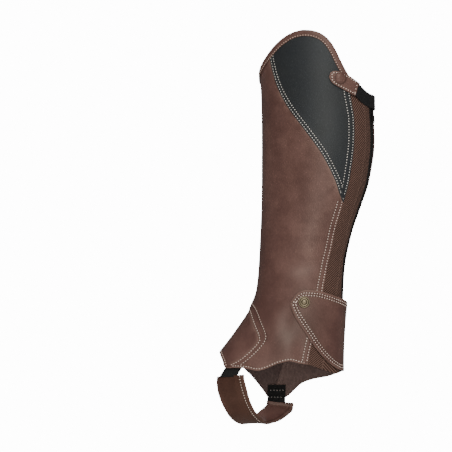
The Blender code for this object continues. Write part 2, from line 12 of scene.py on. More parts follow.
import bmesh
import bpy
import numpy as np
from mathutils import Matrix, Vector


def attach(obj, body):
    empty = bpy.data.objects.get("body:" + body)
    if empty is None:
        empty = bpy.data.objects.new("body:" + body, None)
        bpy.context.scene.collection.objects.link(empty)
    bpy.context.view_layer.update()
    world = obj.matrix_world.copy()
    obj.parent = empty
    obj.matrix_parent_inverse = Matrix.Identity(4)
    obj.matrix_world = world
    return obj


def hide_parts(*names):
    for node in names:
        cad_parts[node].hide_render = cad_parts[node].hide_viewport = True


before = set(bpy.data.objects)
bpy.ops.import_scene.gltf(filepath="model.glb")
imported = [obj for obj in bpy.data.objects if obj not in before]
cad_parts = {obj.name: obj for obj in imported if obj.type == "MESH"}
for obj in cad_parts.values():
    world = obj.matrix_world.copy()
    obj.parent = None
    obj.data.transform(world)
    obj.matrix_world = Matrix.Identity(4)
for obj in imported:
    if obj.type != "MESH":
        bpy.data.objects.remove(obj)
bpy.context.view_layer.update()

MM = 0.001

# %% [markdown]
# The camera comes first, because everything is judged through it. The photograph looks
# square at the outer side of the leg from a little below, through a long lens. A pixel of it
# is a known size on the leg's axis, so the lens follows from the distance.

# %% Camera
FRAME_PIXELS = 452
PIXEL = 1.25 * MM
ORIGIN_PIXEL = (318.25, 140.0)
CAMERA_DISTANCE = 7.0
SHARP_PLANE = 0.02
CAMERA_LOOKS_UP = math.radians(4.0)
SENSOR = 36.0


def add_camera():
    """Put the camera where the photograph was taken from."""
    looking = Vector((0.0, math.cos(CAMERA_LOOKS_UP), math.sin(CAMERA_LOOKS_UP)))
    aim = Vector((
        (FRAME_PIXELS / 2 - ORIGIN_PIXEL[0]) * PIXEL,
        0.0,
        (ORIGIN_PIXEL[1] - FRAME_PIXELS / 2) * PIXEL,
    ))
    data = bpy.data.cameras.new("camera")
    data.sensor_width = SENSOR
    data.lens = SENSOR * (CAMERA_DISTANCE - SHARP_PLANE) / (FRAME_PIXELS * PIXEL)
    camera = bpy.data.objects.new("camera", data)
    camera.location = aim - looking * CAMERA_DISTANCE
    camera.rotation_mode = "QUATERNION"
    camera.rotation_quaternion = looking.to_track_quat("-Z", "Y")
    bpy.context.scene.collection.objects.link(camera)
    bpy.context.scene.camera = camera
    return camera


print("lens in mm:", round(add_camera().data.lens, 1))

# %% [markdown]
# Shader maths reads best as expressions. `Value` wraps a socket, so `1 - mask * 0.5` adds its
# own Math nodes, and `Finish.node` makes any other node from its settings and inputs.

# %% Shader maths


class Value:
    """A number in a material, with the operators that the finishes use."""

    def __init__(self, finish, socket):
        self.finish = finish
        self.socket = socket

    def math(self, operation, *others):
        return self.finish.node("ShaderNodeMath", {"operation": operation}, [self, *others])

    def __add__(self, other):
        return self.math("ADD", other)

    def __mul__(self, other):
        return self.math("MULTIPLY", other)

    def __sub__(self, other):
        return self.math("SUBTRACT", other)

    def __rsub__(self, other):
        return self.finish.node("ShaderNodeMath", {"operation": "SUBTRACT"}, [other, self])

    __radd__ = __add__
    __rmul__ = __mul__

    def smooth(self, low, high):
        """0 below low, 1 above high, and smooth between."""
        settings = {"interpolation_type": "SMOOTHSTEP"}
        return self.finish.node("ShaderNodeMapRange", settings, [self, low, high, 0.0, 1.0])


class Finish:
    """A material, with one way to make its nodes."""

    def __init__(self, name):
        self.material = bpy.data.materials.new(name)
        self.material.use_nodes = True
        self.tree = self.material.node_tree
        self.shader = self.tree.nodes["Principled BSDF"]

    def node(self, kind, settings=None, inputs=(), output=0):
        made = self.tree.nodes.new(kind)
        for key, setting in (settings or {}).items():
            setattr(made, key, setting)
        pairs = inputs.items() if isinstance(inputs, dict) else enumerate(inputs)
        for key, value in pairs:
            self.feed(made.inputs[key], value)
        return Value(self, made.outputs[output])

    def feed(self, socket, value):
        if isinstance(value, Value):
            self.tree.links.new(value.socket, socket)
        else:
            socket.default_value = value

    def place(self):
        """Object coordinates, which are the row's own metres."""
        return self.node("ShaderNodeTexCoord", output="Object")

    def across(self, place, stretch):
        """The same coordinates, stretched along each axis."""
        return self.node("ShaderNodeMapping", inputs={"Vector": place, "Scale": stretch})

    def noise(self, place, scale, detail=3.0, rough=0.5):
        inputs = {"Vector": place, "Scale": scale, "Detail": detail, "Roughness": rough}
        return self.node("ShaderNodeTexNoise", inputs=inputs)

    def cells(self, place, scale):
        return self.node("ShaderNodeTexVoronoi", inputs={"Vector": place, "Scale": scale})

    def mix(self, share, first, second):
        settings = {"data_type": "RGBA"}
        return self.node("ShaderNodeMix", settings, {0: share, 6: first, 7: second}, output=2)

    def colour(self, value):
        self.feed(self.shader.inputs["Base Color"], value)

    def roughness(self, value):
        self.feed(self.shader.inputs["Roughness"], value)

    def bump(self, height, strength, distance):
        inputs = {"Height": height, "Strength": strength, "Distance": distance}
        self.feed(self.shader.inputs["Normal"], self.node("ShaderNodeBump", inputs=inputs))

    def wear_and_shading(self):
        """The piece's own attribute: up to 1 at edges that hands have worn and where painted sheen
        lightens it, below zero where painted shade darkens stitch channels and patches.
        """
        return self.node("ShaderNodeAttribute", {"attribute_name": "wear_and_painted_light"}, output="Fac")

    def uv(self):
        """The cloth's own coordinates in millimetres, across and along the leg."""
        whole = self.node("ShaderNodeUVMap", {"uv_map": "cloth"})
        parts = self.tree.nodes.new("ShaderNodeSeparateXYZ")
        self.feed(parts.inputs[0], whole)
        return Value(self, parts.outputs[0]), Value(self, parts.outputs[1])

    def set(self, **numbers):
        """Numbers and colours that are the same all over, on the shader's own sockets."""
        for key, value in numbers.items():
            self.feed(self.shader.inputs[key.replace("_", " ")], value)
        return self.material


def rgb(red, green, blue):
    return (red, green, blue, 1.0)


# %% [markdown]
# Oiled leather is never one brown. Broad mottling comes from the hide, fine grain from its
# pores, and rubbed edges turn lighter and a little duller. The grain is bump, because each
# cell is under a millimetre. Its coordinates are the object's own, so it doesn't slide. The
# shine is tinted, because the wax on the leather is brown too.

# %% Leather finishes
HIDE_SCALE = 17.0
CLOUD_SCALE = 60.0
GRAIN_SCALE = 950.0
PORE_SCALE = 2600.0


def leather(name, painted_shade, dark, middle, light, rough, tint):
    """Smooth oiled leather: mottled, grained, rubbed at edges, with painted shade in sewing channels
    and painted shade and sheen in patches.
    """
    finish = Finish(name)
    place = finish.place()
    hide = finish.noise(finish.across(place, (1.0, 1.0, 0.6)), HIDE_SCALE, 4.0, 0.55)
    cloud = finish.noise(place, CLOUD_SCALE, 5.0, 0.6)
    tone = (hide * 0.65 + cloud * 0.35).smooth(0.34, 0.68)
    colour = finish.mix(tone, dark, middle)
    wear_and_shading = finish.wear_and_shading()
    # Above zero the attribute lightens the colour, for worn edges and for painted sheen; below zero
    # it mixes in the painted shade colour.
    rubbed = wear_and_shading * cloud.smooth(0.3, 0.6) * 0.75
    colour = finish.mix(rubbed, colour, light)
    colour = finish.mix((wear_and_shading * -1.0).smooth(0.0, 1.0) * 0.75, colour, painted_shade)
    grain = finish.cells(finish.across(place, (1.0, 1.0, 0.8)), GRAIN_SCALE)
    pores = finish.noise(place, PORE_SCALE, 2.0, 0.5)
    shade = finish.mix(grain.smooth(0.0, 0.5) * 0.22, colour, dark)
    finish.colour(shade)
    finish.roughness(rough + 0.14 * cloud + rubbed * 0.12)
    finish.bump(grain * -0.6 + pores * 0.35 + cloud * 0.8, 0.55, 0.00018)
    return finish.set(Specular_IOR_Level=0.42, Specular_Tint=tint)


def flesh(name, dark, light):
    """The rough back of leather: nap with no shine."""
    finish = Finish(name)
    place = finish.place()
    nap = finish.noise(finish.across(place, (1.0, 1.0, 0.35)), 420.0, 5.0, 0.65)
    cloud = finish.noise(place, 26.0, 3.0, 0.5)
    tone = nap * 0.6 + cloud * 0.4
    finish.colour(finish.mix(tone.smooth(0.3, 0.7), dark, light))
    finish.bump(nap, 0.7, 0.0003)
    return finish.set(Roughness=0.92, Sheen_Weight=0.35, Sheen_Roughness=0.5)


def cut_edge(name, dark, light):
    """The cut edge of a hide, in fine layers."""
    finish = Finish(name)
    layers = finish.noise(finish.place(), 700.0, 3.0, 0.6)
    finish.colour(finish.mix(layers.smooth(0.35, 0.65), dark, light))
    finish.bump(layers, 0.4, 0.0002)
    return finish.set(Roughness=0.75)


# The first colour of each leather is its painted shade, for stitch channels and shaded patches.
BROWN = leather(
    "brown_leather", rgb(0.030, 0.012, 0.009), rgb(0.088, 0.041, 0.034),
    rgb(0.160, 0.083, 0.067), rgb(0.27, 0.165, 0.130), 0.38, rgb(1.0, 0.84, 0.70),
)
BLACK = leather(
    "black_leather", rgb(0.003, 0.003, 0.004), rgb(0.015, 0.017, 0.020),
    rgb(0.021, 0.022, 0.022), rgb(0.065, 0.065, 0.062), 0.46, rgb(0.85, 0.86, 0.82),
)
# The strap's leather is darker: partly its own deeper brown, partly painted shade for the low light
# it hangs in.
STRAP_HIDE_AND_SHADE = leather(
    "strap_leather_and_shade", rgb(0.018, 0.007, 0.005), rgb(0.036, 0.014, 0.010),
    rgb(0.078, 0.034, 0.024), rgb(0.190, 0.105, 0.080), 0.44, rgb(1.0, 0.72, 0.55),
)
FLESH = flesh("flesh_side", rgb(0.125, 0.075, 0.063), rgb(0.200, 0.128, 0.107))
# A darker copy of the flesh side for the main panel's inside: painted shade.
SHADED_FLESH = flesh("shaded_front_flesh_side", rgb(0.085, 0.051, 0.044), rgb(0.145, 0.094, 0.081))
EDGE = cut_edge("cut_edge", rgb(0.050, 0.024, 0.018), rgb(0.120, 0.062, 0.046))
BLACK_EDGE = cut_edge("black_cut_edge", rgb(0.014, 0.014, 0.015), rgb(0.035, 0.033, 0.033))
LEATHERS = (BROWN, BLACK, STRAP_HIDE_AND_SHADE, FLESH, SHADED_FLESH, EDGE, BLACK_EDGE)
print("leather finishes:", [material.name for material in LEATHERS])

# %% [markdown]
# The stretch panel is a twill whose ribs rise from both sides to a ridge near its middle, so
# they make chevrons. Its coordinates are millimetres of the cloth, which follow the panel as
# it bends. Webbing and zip tape are plainer: ribs along or across the tape.

# %% Woven finishes
RIB_PITCH = 3.4
RIDGE_AT = 18.5


def herringbone(name):
    """Brown twill elastic: ribs that climb to a ridge from both sides."""
    finish = Finish(name)
    across, along = finish.uv()
    climb = (across - RIDGE_AT).math("ABSOLUTE")
    turns = (along + climb * 1.05) * (math.tau / RIB_PITCH)
    rib = turns.math("SINE") * 0.5 + 0.5
    yarn = (across * (math.tau / 0.62)).math("SINE") * 0.5 + 0.5
    cloud = finish.noise(finish.place(), 90.0, 3.0, 0.55)
    ridge = 1 - climb.smooth(0.2, 1.1)
    tone = rib * 0.90 + yarn * 0.06 + cloud * 0.12
    colour = finish.mix(tone.smooth(0.35, 0.9), rgb(0.034, 0.016, 0.011), rgb(0.185, 0.100, 0.074))
    # The ridge is mixed lighter: partly the weave's plain band there, partly a painted highlight
    # along its raised line.
    colour = finish.mix(ridge * 0.4, colour, rgb(0.200, 0.118, 0.088))
    finish.colour(colour)
    finish.bump(rib + yarn * 0.3 + ridge * 0.4, 0.9, 0.0005)
    return finish.set(Roughness=0.82, Specular_IOR_Level=0.25)


def webbing(name, pitch, dark, light):
    """Ribbed tape or elastic."""
    finish = Finish(name)
    across, along = finish.uv()
    rib = (along * (math.tau / pitch)).math("SINE") * 0.5 + 0.5
    yarn = (across * (math.tau / (pitch * 0.8))).math("SINE") * 0.5 + 0.5
    fuzz = finish.noise(finish.place(), 800.0, 3.0, 0.6)
    tone = rib * yarn + fuzz * 0.4
    finish.colour(finish.mix(tone.smooth(0.1, 1.1), dark, light))
    finish.bump(rib * 0.7 + yarn * 0.5 + fuzz * 0.3, 0.8, 0.0003)
    return finish.set(Roughness=0.85, Specular_IOR_Level=0.2)


STRETCH = herringbone("brown_elastic")
WEBBING = webbing("black_elastic", 1.5, rgb(0.006, 0.006, 0.006), rgb(0.030, 0.028, 0.027))
ZIP_TAPE = webbing("zip_tape", 0.9, rgb(0.010, 0.009, 0.008), rgb(0.034, 0.030, 0.027))

# %% [markdown]
# Thread, teeth and metal are small, so a little variation is enough. The thread is cream on
# brown leather, ivory on black, tan on the binding and grey inside. The snap is antique
# brass: dark in its hollows, warm where fingers have polished the raised parts.

# %% Thread and metal finishes


def thread(name, dark, light):
    finish = Finish(name)
    twist = finish.noise(finish.place(), 1500.0, 2.0, 0.5)
    finish.colour(finish.mix(twist.smooth(0.3, 0.7), dark, light))
    finish.bump(twist, 0.5, 0.0001)
    return finish.set(Roughness=0.6, Sheen_Weight=0.15)


def aged_metal(name, dark, bright, rough):
    """Metal whose hollows stay dark and whose raised parts are polished."""
    finish = Finish(name)
    place = finish.place()
    stain = finish.noise(place, 330.0, 5.0, 0.65)
    polish = finish.wear_and_shading() * 0.7 + stain * 0.5
    finish.colour(finish.mix(polish.smooth(0.25, 0.9), dark, bright))
    finish.roughness(rough + stain * 0.25)
    finish.bump(stain, 0.25, 0.0002)
    return finish.set(Metallic=1.0)


CREAM = thread("cream_thread", rgb(0.98, 0.72, 0.57), rgb(1.00, 0.88, 0.76))
IVORY = thread("ivory_thread", rgb(0.86, 0.78, 0.67), rgb(0.98, 0.93, 0.84))
TAN = thread("tan_thread", rgb(0.66, 0.45, 0.35), rgb(0.82, 0.61, 0.49))
GREY = thread("grey_thread", rgb(0.34, 0.30, 0.27), rgb(0.52, 0.47, 0.43))
BRASS = aged_metal("aged_brass", rgb(0.050, 0.039, 0.024), rgb(0.30, 0.245, 0.155), 0.34)
DARK_METAL = aged_metal("dark_metal", rgb(0.030, 0.027, 0.024), rgb(0.14, 0.13, 0.12), 0.32)
TOOTH = aged_metal("zip_teeth", rgb(0.018, 0.016, 0.015), rgb(0.075, 0.068, 0.062), 0.35)

# %% [markdown]
# Every cloth piece lies on one leg form, as in the solids: a place is its turn round the leg
# in degrees, 0 at the shin and growing over the outer side, and its height in millimetres.
# The tables below repeat the solids' own. `Table` reads a smooth curve through one.

# %% The leg form
FORM = (
    # height, shin, calf, half, egg
    (-330, -170.0, 28.0, 40.0, -0.12),
    (-267, -123.6, 28.7, 38.5, -0.12),
    (-240, -103.3, 29.3, 36.8, -0.10),
    (-209, -83.4, 29.6, 35.2, -0.08),
    (-188, -75.9, 30.0, 34.5, -0.06),
    (-162, -73.0, 31.6, 35.0, -0.06),
    (-117, -70.6, 40.4, 39.5, -0.08),
    (-82, -69.2, 52.2, 43.5, -0.10),
    (-48, -68.8, 63.0, 47.0, -0.12),
    (0, -68.7, 69.2, 50.5, -0.12),
    (50, -69.4, 67.5, 51.5, -0.10),
    (85, -71.2, 68.2, 53.0, -0.10),
    (150, -72.5, 69.0, 54.0, -0.10),
)

# The soft folds. The first twelve rows are the solids' folds, the rest are shallow creases.
FOLDS = (
    # turn, height, round, tall, lean, depth
    (88, -158, 26, 11, 0.25, -1.6),
    (70, -176, 24, 9, 0.35, 1.2),
    (62, -206, 22, 12, 0.60, -1.5),
    (96, -262, 14, 22, -0.35, 2.2),
    (108, -266, 9, 20, -0.35, -1.6),
    (-76, -226, 7, 34, 0.00, -1.8),
    (-96, -236, 8, 40, 0.00, -1.5),
    (-110, -170, 20, 12, -0.30, -1.4),
    (-60, -164, 24, 10, -0.20, -1.1),
    (-40, -60, 20, 42, 0.00, 0.9),
    (150, -150, 18, 9, 0.10, -1.0),
    (152, -118, 18, 10, 0.10, 0.8),
    (58, -148, 17, 5, 0.15, -0.5),
    (64, -136, 20, 6, 0.10, 0.4),
    (40, -196, 18, 6, 0.50, 0.6),
    (84, -214, 9, 16, 0.20, -0.7),
    (74, -244, 8, 22, -0.25, 0.5),
    (88, -240, 8, 24, -0.30, -0.8),
    (30, -120, 18, 14, 0.10, -0.4),
    (24, -30, 10, 60, 0.00, 0.5),
    (70, 20, 16, 34, 0.30, 0.5),
    (104, -50, 9, 30, 0.30, -0.4),
    (-24, -110, 14, 30, 0.00, -0.5),
    (-58, -200, 16, 6, -0.30, -0.6),
    (-120, -120, 16, 26, 0.00, 0.6),
    (-134, -212, 12, 8, 0.00, -0.6),
    (-120, -262, 12, 22, 0.15, -0.8),
    (-150, -60, 9, 40, 0.00, -0.5),
    (-110, 20, 18, 30, 0.00, 0.5),
)


class Table:
    """A smooth curve through one column of a short table. It never overshoots a row."""

    def __init__(self, rows, column=1):
        self.at = np.array([row[0] for row in rows], float)
        self.value = np.array([row[column] for row in rows], float)
        secants = np.diff(self.value) / np.diff(self.at)
        before, after = secants[:-1], secants[1:]
        same = before * after > 0
        total = np.where(same, before + after, 1.0)
        inner = np.where(same, 2 * before * after / total, 0.0)
        self.slope = np.concatenate([secants[:1], inner, secants[-1:]])

    def __call__(self, at):
        at = np.clip(at, self.at[0], self.at[-1])
        i = np.clip(np.searchsorted(self.at, at) - 1, 0, len(self.at) - 2)
        span = self.at[i + 1] - self.at[i]
        u = (at - self.at[i]) / span
        return (
            (1 + 2 * u) * (1 - u) ** 2 * self.value[i]
            + u * (1 - u) ** 2 * span * self.slope[i]
            + u * u * (3 - 2 * u) * self.value[i + 1]
            + u * u * (u - 1) * span * self.slope[i + 1]
        )


SHIN, CALF, HALF, EGG = (Table(FORM, column) for column in (1, 2, 3, 4))


def signed(turn):
    return (turn + 180.0) % 360.0 - 180.0


def bare_form(turn, height):
    """Points of the leg form without folds, in mm."""
    shin, calf, half, egg = SHIN(height), CALF(height), HALF(height), EGG(height)
    ahead, aside = np.cos(np.radians(turn)), np.sin(np.radians(turn))
    x = (shin + calf) / 2 - (calf - shin) / 2 * ahead
    y = -half * aside * (1 + egg * ahead)
    return np.stack([x, y, height + 0 * x], axis=-1)


def unit(vectors):
    return vectors / np.linalg.norm(vectors, axis=-1, keepdims=True)


def round_leg(turn, height):
    """Millimetres and direction of one degree of turn."""
    return bare_form(turn + 0.5, height) - bare_form(turn - 0.5, height)


def per_degree(turn, height):
    return np.linalg.norm(round_leg(turn, height), axis=-1)


def form_normal(turn, height):
    up_leg = bare_form(turn, height + 0.5) - bare_form(turn, height - 0.5)
    return unit(np.cross(round_leg(turn, height), up_leg))


def patches(turn, height, rows):
    """The sum of soft oval patches, with the columns that FOLDS has."""
    total = 0.0 * turn
    for middle, level, round_, tall, lean, amount in rows:
        rise = height - level
        across = (signed(turn - middle) - lean * rise) / round_
        total += amount * np.exp(-across * across - (rise / tall) ** 2)
    return total


def on_leg(turn, height, out):
    """Points of the worn leather's form, moved out along the normal, in mm."""
    lift = np.asarray(out + patches(turn, height, FOLDS))
    return bare_form(turn, height) + form_normal(turn, height) * lift[..., None]


girth = np.linalg.norm(np.diff(bare_form(np.linspace(0, 360, 181), np.zeros(181)), axis=0), axis=1)
print("calf girth in mm:", round(float(girth.sum())))

# %% [markdown]
# The edges and seams are short tables too. A seam gives the turn at each height, and the rim
# and the hem give the height at each turn.

# %% Edges and seams
RIM = Table((
    (-180, 48.0), (-155, 52.0), (-131, 58.0), (-114, 64.5), (-101, 68.5), (-85, 69.5),
    (-67, 69.0), (-49, 69.0), (-29, 72.0), (-12, 77.5), (0, 83.0), (12, 90.0),
    (27, 100.6), (36.5, 108.7), (44, 115.3), (51, 121.0), (57, 125.2), (62.5, 128.4),
    (68, 130.6), (76, 132.2), (83, 131.7), (88, 130.3), (93, 127.8), (98, 123.5),
    (103, 116.8), (108, 106.9), (113, 94.8), (118.7, 83.0), (125, 72.5), (135, 62.5),
    (155, 53.0), (180, 48.0),
))
HEM = Table((
    (-180, -289.0), (-171, -289.7), (-157, -291.8), (-148, -294.0), (-141, -295.5),
    (-130, -297.4), (-120, -301.2), (-116, -304.6), (-112.5, -310.6), (-109.5, -316.8),
    (-106, -321.5), (-102, -324.0), (-98, -324.4), (-93, -320.8), (-89.6, -315.3),
    (-84, -307.4), (-77.3, -299.1), (-71, -292.2), (-64, -286.4), (-52, -274.0),
    (-41, -266.0), (-20, -264.0), (0, -265.6), (14, -268.6), (24, -272.8), (33, -278.4),
    (42, -286.0), (47, -287.5), (55, -287.2), (65, -288.0), (72, -290.1), (77, -290.8),
    (81, -289.6), (86.7, -285.7), (93.3, -281.5), (101.4, -279.1), (111, -281.8),
    (120.7, -283.5), (131.8, -287.6), (144.8, -291.4), (157, -293.4), (168, -291.0),
    (180, -289.0),
))
MEDIAL_SEAM = Table((
    (-330, -98), (-280, -97), (-240, -95), (-190, -91), (-100, -87), (0, -86), (150, -86),
))
VAMP_MEDIAL = Table((
    (-275, -47), (-264, -47), (-249, -46.5), (-234, -47.5), (-216, -45), (-192, -41),
))
VAMP_LATERAL = Table((
    (-292, 37.0), (-287, 41.5), (-283.5, 45.5), (-281.3, 49.0), (-278.5, 52.5),
    (-274.3, 55.8), (-269, 58.6), (-264, 60.8), (-258, 62.6), (-254, 63.1), (-250.5, 61.2),
    (-243.3, 55.0), (-233, 43.6), (-225.2, 33.0), (-218, 20.2), (-212.5, 3.0),
    (-205, -15.0), (-198, -29.0), (-192, -41.0),
))
LATERAL_SEAM = Table((
    (-300, 118.7), (-254, 118.9), (-222, 120.3), (-190, 122.3), (-163, 126.2),
    (-134, 128.9), (-80, 128.9), (-40, 128.8), (0, 129.3), (22, 129.7), (41, 127.6),
    (56, 125.2), (85, 122.5), (150, 121.0),
))
INSERT_FRONT = Table((
    (-79.3, 127.4), (-68.5, 119.3), (-55, 112.0), (-42.2, 105.1), (-20.6, 93.5),
    (-0.4, 81.4), (21.7, 68.0), (31.3, 61.8), (47.4, 52.7), (58.4, 47.3), (74.1, 41.5),
    (92.4, 36.6), (110, 33.0), (135, 28.5),
))
ELASTIC_BACK = Table(((-300, 164), (-190, 164), (-75, 163.5), (0, 158.5), (150, 157)))
CHAIN_FRONT = Table(((-300, 171), (-190, 170), (-75, 169), (0, 164.5), (150, 164)))
CHAIN_BACK = Table(((-300, 178.5), (-190, 177), (-75, 175), (0, 170.0), (150, 169.5)))
BACK_EDGE = Table(((-300, 187), (-190, 184.5), (-75, 182), (0, 178.0), (150, 177.5)))
INSERT_TIP = -79.4
VAMP_PEAK = -192.0


def rim(turn):
    return RIM(signed(turn))


def hem(turn):
    return HEM(signed(turn))


def front_seam(height):
    """The main panel's outer edge: the insert's edge above its tip, the seam below."""
    insert = np.minimum(INSERT_FRONT(height), LATERAL_SEAM(height))
    return np.where(height >= INSERT_TIP, insert, LATERAL_SEAM(height))


def back_edge(height):
    return BACK_EDGE(height) - 360.0


# %% [markdown]
# A panel is a grid laid between two seams. Its columns and rows crowd near the edges, where
# the sewing is, and are even between. The grid is worked out in cloth millimetres, so a
# stitch line two millimetres from an edge is two millimetres from it all the way.

# %% Laying out a panel
GAP = 0.3
BUTTED = -GAP / 2
ANKLE_LINE = -185.0
KNEE_LINE = 38.0
EDGE_STEPS = (0.0, 0.5, 1.1, 1.7, 2.3, 3.0, 3.8, 4.6, 5.4, 6.2, 7.0, 8.0, 9.6, 11.6)
HEM_STEPS = (0.0, 0.5, 1.1, 1.7, 2.3, 3.0, 4.0, 5.5, 7.5)
SETTLING_STEPS = 40
EDGE_SHARE = 0.4


def columns_of(middle, steps=EDGE_STEPS):
    """Each column as a fixed distance from an edge and a share of the width."""
    inset = [(step, 0.0) for step in steps]
    for k in range(1, middle):
        share = k / middle
        inset.append((steps[-1] - 2 * steps[-1] * share, share))
    return inset + [(-step, 1.0) for step in reversed(steps)]


def rows_from_hem(count, reach):
    """Rows that start along the hem and are level when they reach the ankle line."""
    rows = [(1.0, 0.0, step) for step in HEM_STEPS]
    for k in range(1, count + 1):
        share = reach * k / count
        rows.append((1 - share, 0.0, HEM_STEPS[-1] * (1 - share) + ANKLE_LINE * share))
    return rows


def rows_of(low, level, high):
    """Each row as shares of the hem's and the rim's heights, and a height of its own."""
    rows = rows_from_hem(low, 1.0)
    for k in range(1, level + 1):
        rows.append((0.0, 0.0, ANKLE_LINE + (KNEE_LINE - ANKLE_LINE) * k / level))
    for k in range(1, high):
        share = k / high
        rows.append((0.0, share, KNEE_LINE * (1 - share) - HEM_STEPS[-1] * share))
    return rows + [(0.0, 1.0, -step) for step in reversed(HEM_STEPS)]


def lay_out(first, second, rows, columns, first_lap=BUTTED, second_lap=BUTTED):
    """Turn and height of each point of a panel's grid, and its distance to both seams.

    A lap is how far the panel runs under its neighbour, or a function of height. On a
    narrow stretch, the columns at each edge take no more than EDGE_SHARE of the width.
    """
    rows, columns = np.array(rows)[:, None, :], np.array(columns)[None, :, :]
    shape = (rows.shape[0], columns.shape[1])
    height = np.zeros(shape)
    turn = np.full(shape, float((first(0.0) + second(0.0)) / 2))
    for _ in range(SETTLING_STEPS):
        level = rows[..., 0] * hem(turn) + rows[..., 1] * rim(turn) + rows[..., 2]
        height = 0.5 * height + 0.5 * level
        scale = per_degree(turn, height)
        start = first(height) - lap_at(first_lap, height) * lean(first, height) / scale
        end = second(height) + lap_at(second_lap, height) * lean(second, height) / scale
        width = (end - start) * scale
        squeeze = np.minimum(1.0, EDGE_SHARE * width / EDGE_STEPS[-1])
        turn = start + (end - start) * columns[..., 1] + columns[..., 0] * squeeze / scale
    near = (turn - first(height)) * scale / lean(first, height)
    far = (second(height) - turn) * scale / lean(second, height)
    return turn, height, near, far


def lap_at(lap, height):
    return lap(height) if callable(lap) else lap


def lean(line, height):
    """How much longer a leaning seam's level distance is than its square one."""
    slope = (line(height + 1.0) - line(height - 1.0)) / 2
    return np.sqrt(1 + (slope * per_degree(line(height), height)) ** 2)


# %% [markdown]
# Sewn leather isn't flat at its edges. The cut edge is rolled down, each row of stitches
# pulls a shallow channel, and the doubled layers between them stand a little higher. These
# heights are added before the grid is placed, so the seams are in the mesh.

# %% Sewn edges
CHANNEL_DEPTH = 0.38
CHANNEL_WIDTH = 0.75
ROLL = 0.30
ROLL_WIDTH = 0.7
DOUBLED = 0.45
DOUBLED_PAST_LINE = 1.6
DOUBLED_FADES = 0.8
RUB_WIDTH = 1.8


def hump(distance, width):
    """1 in the middle, fading to both sides."""
    return np.exp(-(distance / width) ** 2)


def below(value, limit, width):
    """1 well below a limit, 0 well above it."""
    return 1 / (1 + np.exp((value - limit) / width))


def channels(distance, lines):
    """1 at the bottom of each sewing channel, fading to its sides."""
    return sum(hump(distance - line, CHANNEL_WIDTH) for line in lines)


def rolled(distance):
    """Height of a cut edge that is rolled down."""
    return -ROLL * hump(distance, ROLL_WIDTH)


def sewn_edge(distance, lines, doubled=DOUBLED):
    """Height of leather at a distance from its edge, with stitch lines at given distances."""
    flat_from = max(lines) + DOUBLED_PAST_LINE
    layers = doubled * below(distance, flat_from, DOUBLED_FADES)
    return rolled(distance) - CHANNEL_DEPTH * channels(distance, lines) + layers


def rubbed(*distances):
    """1 at an edge that hands have worn, fading inwards."""
    total = 0.0
    for distance in distances:
        total = np.maximum(total, np.exp(-distance / RUB_WIDTH))
    return total


# %% [markdown]
# Each grid starts as `bmesh.ops.create_grid`, whose points are then moved onto the leg. The
# grid keeps its cloth coordinates as a UV map, and how worn it is, with painted shade and
# painted sheen, as an attribute. A Solidify modifier gives the wall, with the rough side and
# the cut edge as its own slots.

# %% Making a sheet


def add_grid(form, points, cloth, wear_and_painted_light):
    """Add one grid to a bmesh and move its points into place."""
    rows, columns = points.shape[:2]
    made = bmesh.ops.create_grid(
        form, x_segments=columns - 1, y_segments=rows - 1, size=0.5, calc_uvs=False
    )["verts"]
    uv = form.loops.layers.uv["cloth"]
    wear_and_shading = form.verts.layers.float["wear_and_painted_light"]
    where = {}
    for vertex in made:
        c = round((vertex.co.x + 0.5) * (columns - 1))
        r = round((vertex.co.y + 0.5) * (rows - 1))
        where[vertex] = (r, c)
        vertex.co = points[r, c] * MM
        vertex[wear_and_shading] = float(wear_and_painted_light[r, c])
    for face in {face for vertex in made for face in vertex.link_faces}:
        for loop in face.loops:
            loop[uv].uv = cloth[where[loop.vert]]
    return made


def new_form():
    form = bmesh.new()
    form.loops.layers.uv.new("cloth")
    form.verts.layers.float.new("wear_and_painted_light")
    return form


def place_piece(mesh, materials, nodes):
    """Link a smooth mesh as a piece that rides on the body and stands for its solids."""
    mesh.shade_smooth()
    for material in materials:
        mesh.materials.append(material)
    piece = bpy.data.objects.new(mesh.name, mesh)
    bpy.context.scene.collection.objects.link(piece)
    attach(piece, "root")
    if nodes:
        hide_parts(*nodes)
    return piece


def finish_piece(name, form, materials, slot, *nodes):
    """Turn a bmesh into a piece."""
    mesh = bpy.data.meshes.new(name)
    form.to_mesh(mesh)
    form.free()
    return place_piece(mesh, materials, nodes)


def give_wall(piece, thickness, rounding=0.28):
    """Thicken a sheet inwards, and round the wall's edges."""
    wall = piece.modifiers.new("wall", "SOLIDIFY")
    wall.thickness = thickness * MM
    wall.offset = -1.0
    wall.material_offset = 1
    wall.material_offset_rim = 2
    edge = piece.modifiers.new("edge", "BEVEL")
    edge.width = rounding * MM
    edge.segments = 2
    edge.limit_method = "ANGLE"
    edge.angle_limit = math.radians(55)
    edge.material = -1
    return piece


def area_of(piece):
    """Area of a sheet's outer face in square metres, before its wall."""
    return sum(face.area for face in piece.data.polygons)


def declare(piece, width, length):
    """State a sheet's flat cut in mm, with its measured share of that rectangle."""
    share = min(1.0, area_of(piece) / (width * length * MM * MM))
    area = round(share, 3) * width * length * MM * MM
    width * MM
    length * MM
    print(f"{piece.name}: cut {width} x {length} mm, {area * 1e4:.0f} cm2")


LEATHER_SLOTS = (BROWN, FLESH, EDGE)
BLACK_SLOTS = (BLACK, FLESH, BLACK_EDGE)
WALL = 1.8


# %% [markdown]
# The main panel wraps from the outer seam, round the shin, to the seam on the inner side.
# Below its peak the instep piece splits it into two legs. So it is two grids that share the
# column above that peak, joined with `remove_doubles`. Its seams lap over its neighbours, so
# it carries the stitch lines. Painted shade darkens it at the ankle, and painted sheen
# lightens two bands above.

